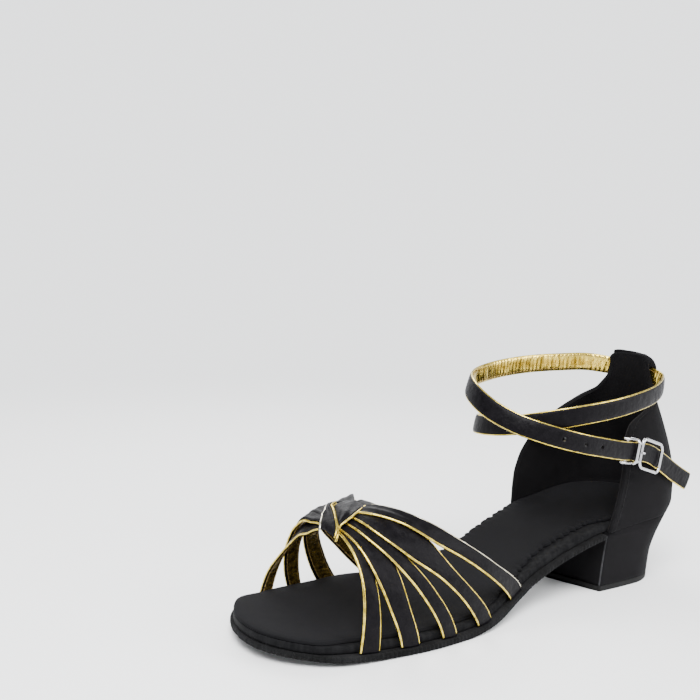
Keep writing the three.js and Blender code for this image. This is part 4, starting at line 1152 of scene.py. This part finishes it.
def build_ankle_strap():
    """The ankle strap with its pleated lining, prong holes, piping and stitches."""
    distances = np.linspace(0, ANKLE_LENGTH, 700)
    point, _, width, outward = ankle_frames(distances)
    share = 0.5 - 0.5 * np.cos(np.linspace(0, math.pi, 17))
    half = ANKLE_STRAP_WIDTH / 2
    across = (2 * share - 1) * (half - 0.1)
    swell = pillow(share) * (ANKLE_STRAP_THICKNESS / 2 - 0.02)
    sewn = distances[:, None] * 2 * math.pi / ANKLE_PLEAT_PITCH
    pleat = ANKLE_PLEAT_DEPTH * np.sin(sewn + 1.4 * np.sin(share * 4.2)) * pillow(share, 2)
    pleat = pleat * (0.6 + 0.4 * np.sin(distances[:, None] * 0.31))

    def layer(depth):
        return (point[:, None] + width[:, None] * across[None, :, None]
                + outward[:, None] * np.broadcast_to(depth, (len(distances), len(share)))[..., None])

    points, faces, material = shell(layer(swell[None]), layer(-swell[None] + pleat))
    strap = add_piece("ankle_band", points, faces, [SATIN, LINING], "satin", ["ankle_strap"], material)
    punch_holes(strap, [BUCKLE_DISTANCE, *PUNCH_DISTANCES])
    pipes = [tube(point + width * edge * (half - 0.35), ANKLE_PIPING_RADIUS) for edge in (1, -1)]
    add_piece("ankle_piping", *joined(pipes), [PIPING], "gold_piping")
    marks = np.arange(3, ANKLE_LENGTH - 3, STITCH_PITCH)
    spot, forward, side_way, out = ankle_frames(marks)
    seams = []
    face = ANKLE_STRAP_THICKNESS / 2 - 0.14
    for row in (half - 1.15, 1.15 - half):
        seams.append(stitches(spot + side_way * row - out * face, forward, -out, 1.5, 0.16))
    add_piece("ankle_stitches", *joined(seams), [GOLD_THREAD], "gold_lining")


def punch_holes(strap, distances):
    """Cuts the prong's holes through the ankle strap."""
    spot, _, width, outward = ankle_frames(distances)
    bars = [tube([place - out * 3, place + out * 3], PUNCH_RADIUS, 20) for place, out in zip(spot, outward)]
    drills = joined(bars)
    mesh = bpy.data.meshes.new("drills")
    mesh.from_pydata(((drills[0] + SHIFT) * MM).tolist(), [], drills[1])
    work = bmesh.new()
    work.from_mesh(mesh)
    bmesh.ops.remove_doubles(work, verts=work.verts, dist=1e-6)
    bmesh.ops.holes_fill(work, edges=work.edges)
    bmesh.ops.recalc_face_normals(work, faces=work.faces)
    work.to_mesh(mesh)
    work.free()
    drill = bpy.data.objects.new("drills", mesh)
    bpy.context.scene.collection.objects.link(drill)
    cut = strap.modifiers.new("holes", "BOOLEAN")
    cut.object = drill
    cut.operation = "DIFFERENCE"
    cut.solver = "EXACT"
    graph = bpy.context.evaluated_depsgraph_get()
    done = bpy.data.meshes.new_from_object(strap.evaluated_get(graph))
    strap.modifiers.clear()
    strap.data = done
    bpy.data.objects.remove(drill)


# Buckle

buckle_at, buckle_forward, buckle_width, buckle_outward = (a[0] for a in ankle_frames([BUCKLE_DISTANCE]))
if buckle_outward[1] < 0:
    buckle_outward = -buckle_outward
FACE_OUT = ANKLE_STRAP_THICKNESS / 2 + 1.5 * CLEARANCE + WIRE_RADIUS
PRONG_BAR = WIRE_RADIUS + CLEARANCE + PRONG_RADIUS
KEEPER_BAR = PRONG_BAR + KEEPER_GAP
KEEPER_HALF = ANKLE_STRAP_WIDTH / 2 + 1.5 * CLEARANCE + WIRE_RADIUS
KEEPER_IN = FACE_OUT + ANCHOR_THICKNESS + CLEARANCE


def buckle_spot(forward, across, out):
    """A point by the buckle, from the middle of the strap at the prong's hole."""
    return buckle_at + buckle_forward * forward + buckle_width * across + buckle_outward * out


def closed_tube(path, radius, sides=14):
    """A round bar along a closed path that lies nearly flat."""
    path = np.asarray(path, float)
    along = unit(np.roll(path, -1, axis=0) - np.roll(path, 1, axis=0))
    centre = path.mean(axis=0)
    normal = unit(np.cross(path[0] - centre, path[len(path) // 4] - centre))
    other = unit(np.cross(along, normal))
    angles = np.linspace(0, 2 * math.pi, sides, endpoint=False)
    spread = np.cos(angles)[None, :, None] * normal + np.sin(angles)[None, :, None] * other[:, None]
    points = path[:, None] + spread * radius
    rings = np.concatenate([points, points[:1]])
    return rings.reshape(-1, 3), ring_faces(len(rings), sides)


def rounded_loop(corners, radius, steps=7):
    """A closed path in a plane through corners (u, v), each rounded."""
    corners = [np.array(c, float) for c in corners]
    path = []
    for i, corner in enumerate(corners):
        before = unit(corners[i - 1] - corner)
        after = unit(corners[(i + 1) % len(corners)] - corner)
        start, end = corner + before * radius, corner + after * radius
        pull = corner * 0.55 + (start + end) * 0.225
        for t in np.linspace(0, 1, steps):
            path.append((1 - t) ** 2 * start + 2 * t * (1 - t) * pull + t * t * end)
    dense = []
    for i, spot in enumerate(path):
        following = path[(i + 1) % len(path)]
        gap = np.linalg.norm(following - spot)
        for t in np.linspace(0, 1, max(int(gap / 0.8), 1), endpoint=False):
            dense.append(spot * (1 - t) + following * t)
    return np.array(dense)


def build_buckle():
    """The chrome frame with its keeper and arms, and the prong."""
    rear = PRONG_BAR - WINDOW_LENGTH
    corners = [
        (PRONG_BAR, WINDOW_HALF), (rear, WINDOW_HALF), (rear, -WINDOW_HALF), (PRONG_BAR, -WINDOW_HALF),
    ]
    outline = rounded_loop(corners, WINDOW_CORNER)
    path = [buckle_spot(u, v + (u - PRONG_BAR) * WINDOW_DROP, FACE_OUT) for u, v in outline]
    window = closed_tube(path, WIRE_RADIUS)
    corners = [
        (KEEPER_HALF, FACE_OUT), (KEEPER_HALF, -KEEPER_IN), (-KEEPER_HALF, -KEEPER_IN),
        (-KEEPER_HALF, FACE_OUT),
    ]
    path = [buckle_spot(KEEPER_BAR, u, v) for u, v in rounded_loop(corners, KEEPER_CORNER)]
    keeper = closed_tube(path, WIRE_RADIUS)
    arms = []
    for side in (1, -1):
        path = []
        for t in np.linspace(0, 1, 12):
            sink = -ARM_RADIUS * smoothstep(t, 0.7, 1)
            path.append(buckle_spot(KEEPER_BAR + KEEPER_REACH * t, side * KEEPER_HALF, sink))
        arms.append(tube(path, ARM_RADIUS, 12))
    for side in (1, -1):
        across = side * (WINDOW_HALF - WINDOW_CORNER)
        path = [buckle_spot(PRONG_BAR + KEEPER_GAP * t, across, FACE_OUT) for t in (0, 0.5, 1)]
        arms.append(tube(path, ARM_RADIUS, 12))
    points, faces = joined([window, keeper, *arms])
    add_piece("buckle_wire", points, faces, [CHROME], "chrome", ["buckle_frame"])

    bend = [(PRONG_BAR * (1 + math.cos(a)), FACE_OUT + PRONG_BAR * math.sin(a))
            for a in np.radians(np.linspace(60, 180, 12))]
    path = [buckle_spot(u, 0, v) for u, v in bend + [(0, 0.8), (0, 0), (0, -ANKLE_STRAP_THICKNESS / 2)]]
    points, faces = tube(path, PRONG_RADIUS, 12)
    add_piece("prong", points, faces, [CHROME], "chrome", ["buckle_prong"])


def build_anchor():
    """The satin tab that is sewn to the counter and folded round the keeper's bar."""
    off = CLEARANCE + ANCHOR_THICKNESS / 2
    sewn = [counter_point(a, ANCHOR_UP, off) for a in np.linspace(ANCHOR_SPAN[0], ANCHOR_SPAN[-1], 12)]
    reach = WIRE_RADIUS + CLEARANCE + ANCHOR_THICKNESS / 2
    fold = [buckle_spot(KEEPER_BAR + reach * math.cos(a), 0, reach * math.sin(a) - KEEPER_IN)
            for a in np.radians(np.linspace(90, -90, 16))]
    knots = np.array(sewn + fold)
    path = catmull_rom(knots, np.linspace(0, 1, 60))
    lean = np.array([counter_slope(ANCHOR_SPAN[1], ANCHOR_UP)] * len(sewn) + [buckle_width] * len(fold))
    lean = catmull_rom(lean, np.linspace(0, 1, 60))
    along = unit(np.gradient(path, axis=0))
    width = unit(lean - along * np.sum(lean * along, axis=1)[:, None])
    depth = np.cross(along, width)
    share = 0.5 - 0.5 * np.cos(np.linspace(0, math.pi, 13))
    across = (2 * share - 1) * ANCHOR_WIDTH / 2
    swell = pillow(share, 4) * (ANCHOR_THICKNESS / 2 - 0.02)

    def layer(sign):
        flat = path[:, None] + width[:, None] * across[None, :, None]
        return flat + sign * depth[:, None] * swell[None, :, None]

    points, faces, material = shell(layer(1), layer(-1))
    add_piece("anchor", points, faces, [SATIN, SATIN], "satin", ["buckle_anchor"], material)


# Stage


def build_floor():
    """A pale floor that fades into the studio's light."""
    backdrop = bpy.data.materials.new("floor")
    backdrop.use_nodes = True
    nodes, links = backdrop.node_tree.nodes, backdrop.node_tree.links
    shader = nodes["Principled BSDF"]
    shader.inputs["Base Color"].default_value = (*FLOOR_COLOR, 1)
    shader.inputs["Roughness"].default_value = 0.6
    glow = nodes.new("ShaderNodeEmission")
    glow.inputs["Color"].default_value = (*WORLD_COLOR, 1)
    glow.inputs["Strength"].default_value = WORLD_STRENGTH
    place = nodes.new("ShaderNodeNewGeometry")
    length = nodes.new("ShaderNodeVectorMath")
    length.operation = "LENGTH"
    fade = nodes.new("ShaderNodeMapRange")
    fade.interpolation_type = "SMOOTHSTEP"
    fade.inputs["From Min"].default_value = FLOOR_FADE[0]
    fade.inputs["From Max"].default_value = FLOOR_FADE[1]
    blend = nodes.new("ShaderNodeMixShader")
    links.new(place.outputs["Position"], length.inputs[0])
    links.new(length.outputs["Value"], fade.inputs["Value"])
    links.new(fade.outputs["Result"], blend.inputs["Fac"])
    links.new(shader.outputs[0], blend.inputs[1])
    links.new(glow.outputs[0], blend.inputs[2])
    links.new(blend.outputs[0], nodes["Material Output"].inputs["Surface"])
    bpy.ops.mesh.primitive_plane_add(size=FLOOR_SIZE, location=(0, 0, -0.0001))
    floor = bpy.context.object
    floor.name = "floor"
    floor.data.materials.append(backdrop)


def build_sky():
    """Studio light, in bands by height over the horizon."""
    world = bpy.data.worlds.new("studio")
    bpy.context.scene.world = world
    world.use_nodes = True
    nodes, links = world.node_tree.nodes, world.node_tree.links
    sky = nodes["Background"]
    sky.inputs["Color"].default_value = (*WORLD_COLOR, 1)
    toward = nodes.new("ShaderNodeTexCoord")
    split = nodes.new("ShaderNodeSeparateXYZ")
    bands = nodes.new("ShaderNodeValToRGB")
    links.new(toward.outputs["Generated"], split.inputs[0])
    links.new(split.outputs["Z"], bands.inputs["Fac"])
    stops = bands.color_ramp.elements
    while len(stops) < len(SKY_BANDS):
        stops.new(0.5)
    for stop, (height, share) in zip(stops, SKY_BANDS):
        stop.position = height
        stop.color = (share, share, share, 1)
    gain = nodes.new("ShaderNodeMath")
    gain.operation = "MULTIPLY"
    gain.inputs[1].default_value = WORLD_STRENGTH
    links.new(bands.outputs["Color"], gain.inputs[0])
    links.new(gain.outputs[0], sky.inputs["Strength"])


def build_lights():
    for name, place, target, size, power in LIGHTS:
        light = bpy.data.lights.new(name, "AREA")
        light.energy = power
        light.shape = "RECTANGLE"
        light.size, light.size_y = size
        lamp = bpy.data.objects.new(name, light)
        lamp.location = place
        aim = Vector(target) - Vector(place)
        lamp.rotation_euler = aim.to_track_quat("-Z", "Y").to_euler()
        bpy.context.scene.collection.objects.link(lamp)


def build_camera():
    """The camera of the photograph."""
    data = bpy.data.cameras.new("camera")
    data.sensor_width = 36
    data.lens = FOCAL_PIXELS / PHOTO_SIZE * data.sensor_width
    data.shift_x = (PHOTO_SIZE / 2 - PRINCIPAL_POINT[0]) / PHOTO_SIZE
    data.shift_y = (PRINCIPAL_POINT[1] - PHOTO_SIZE / 2) / PHOTO_SIZE
    data.clip_start = 0.01
    camera = bpy.data.objects.new("camera", data)
    back = -Vector(CAMERA_FORWARD).normalized()
    right = Vector(CAMERA_RIGHT).normalized()
    up = back.cross(right)
    turn = Matrix((right, up, back)).transposed().to_4x4()
    place = Vector([(a + b) * MM for a, b in zip(CAMERA_PLACE, SHIFT)])
    camera.matrix_world = Matrix.Translation(place) @ turn
    bpy.context.scene.collection.objects.link(camera)
    bpy.context.scene.camera = camera


build_camera()
build_floor()
build_sky()
build_lights()
build_sole()
build_heel()
build_counter()
build_counter_stitches()
build_tab_loop()
for number in range(len(LATERAL_STRAPS)):
    build_vamp_strap(number, 1)
    build_vamp_strap(number, -1)
build_knot()
build_ankle_strap()
build_buckle()
build_anchor()
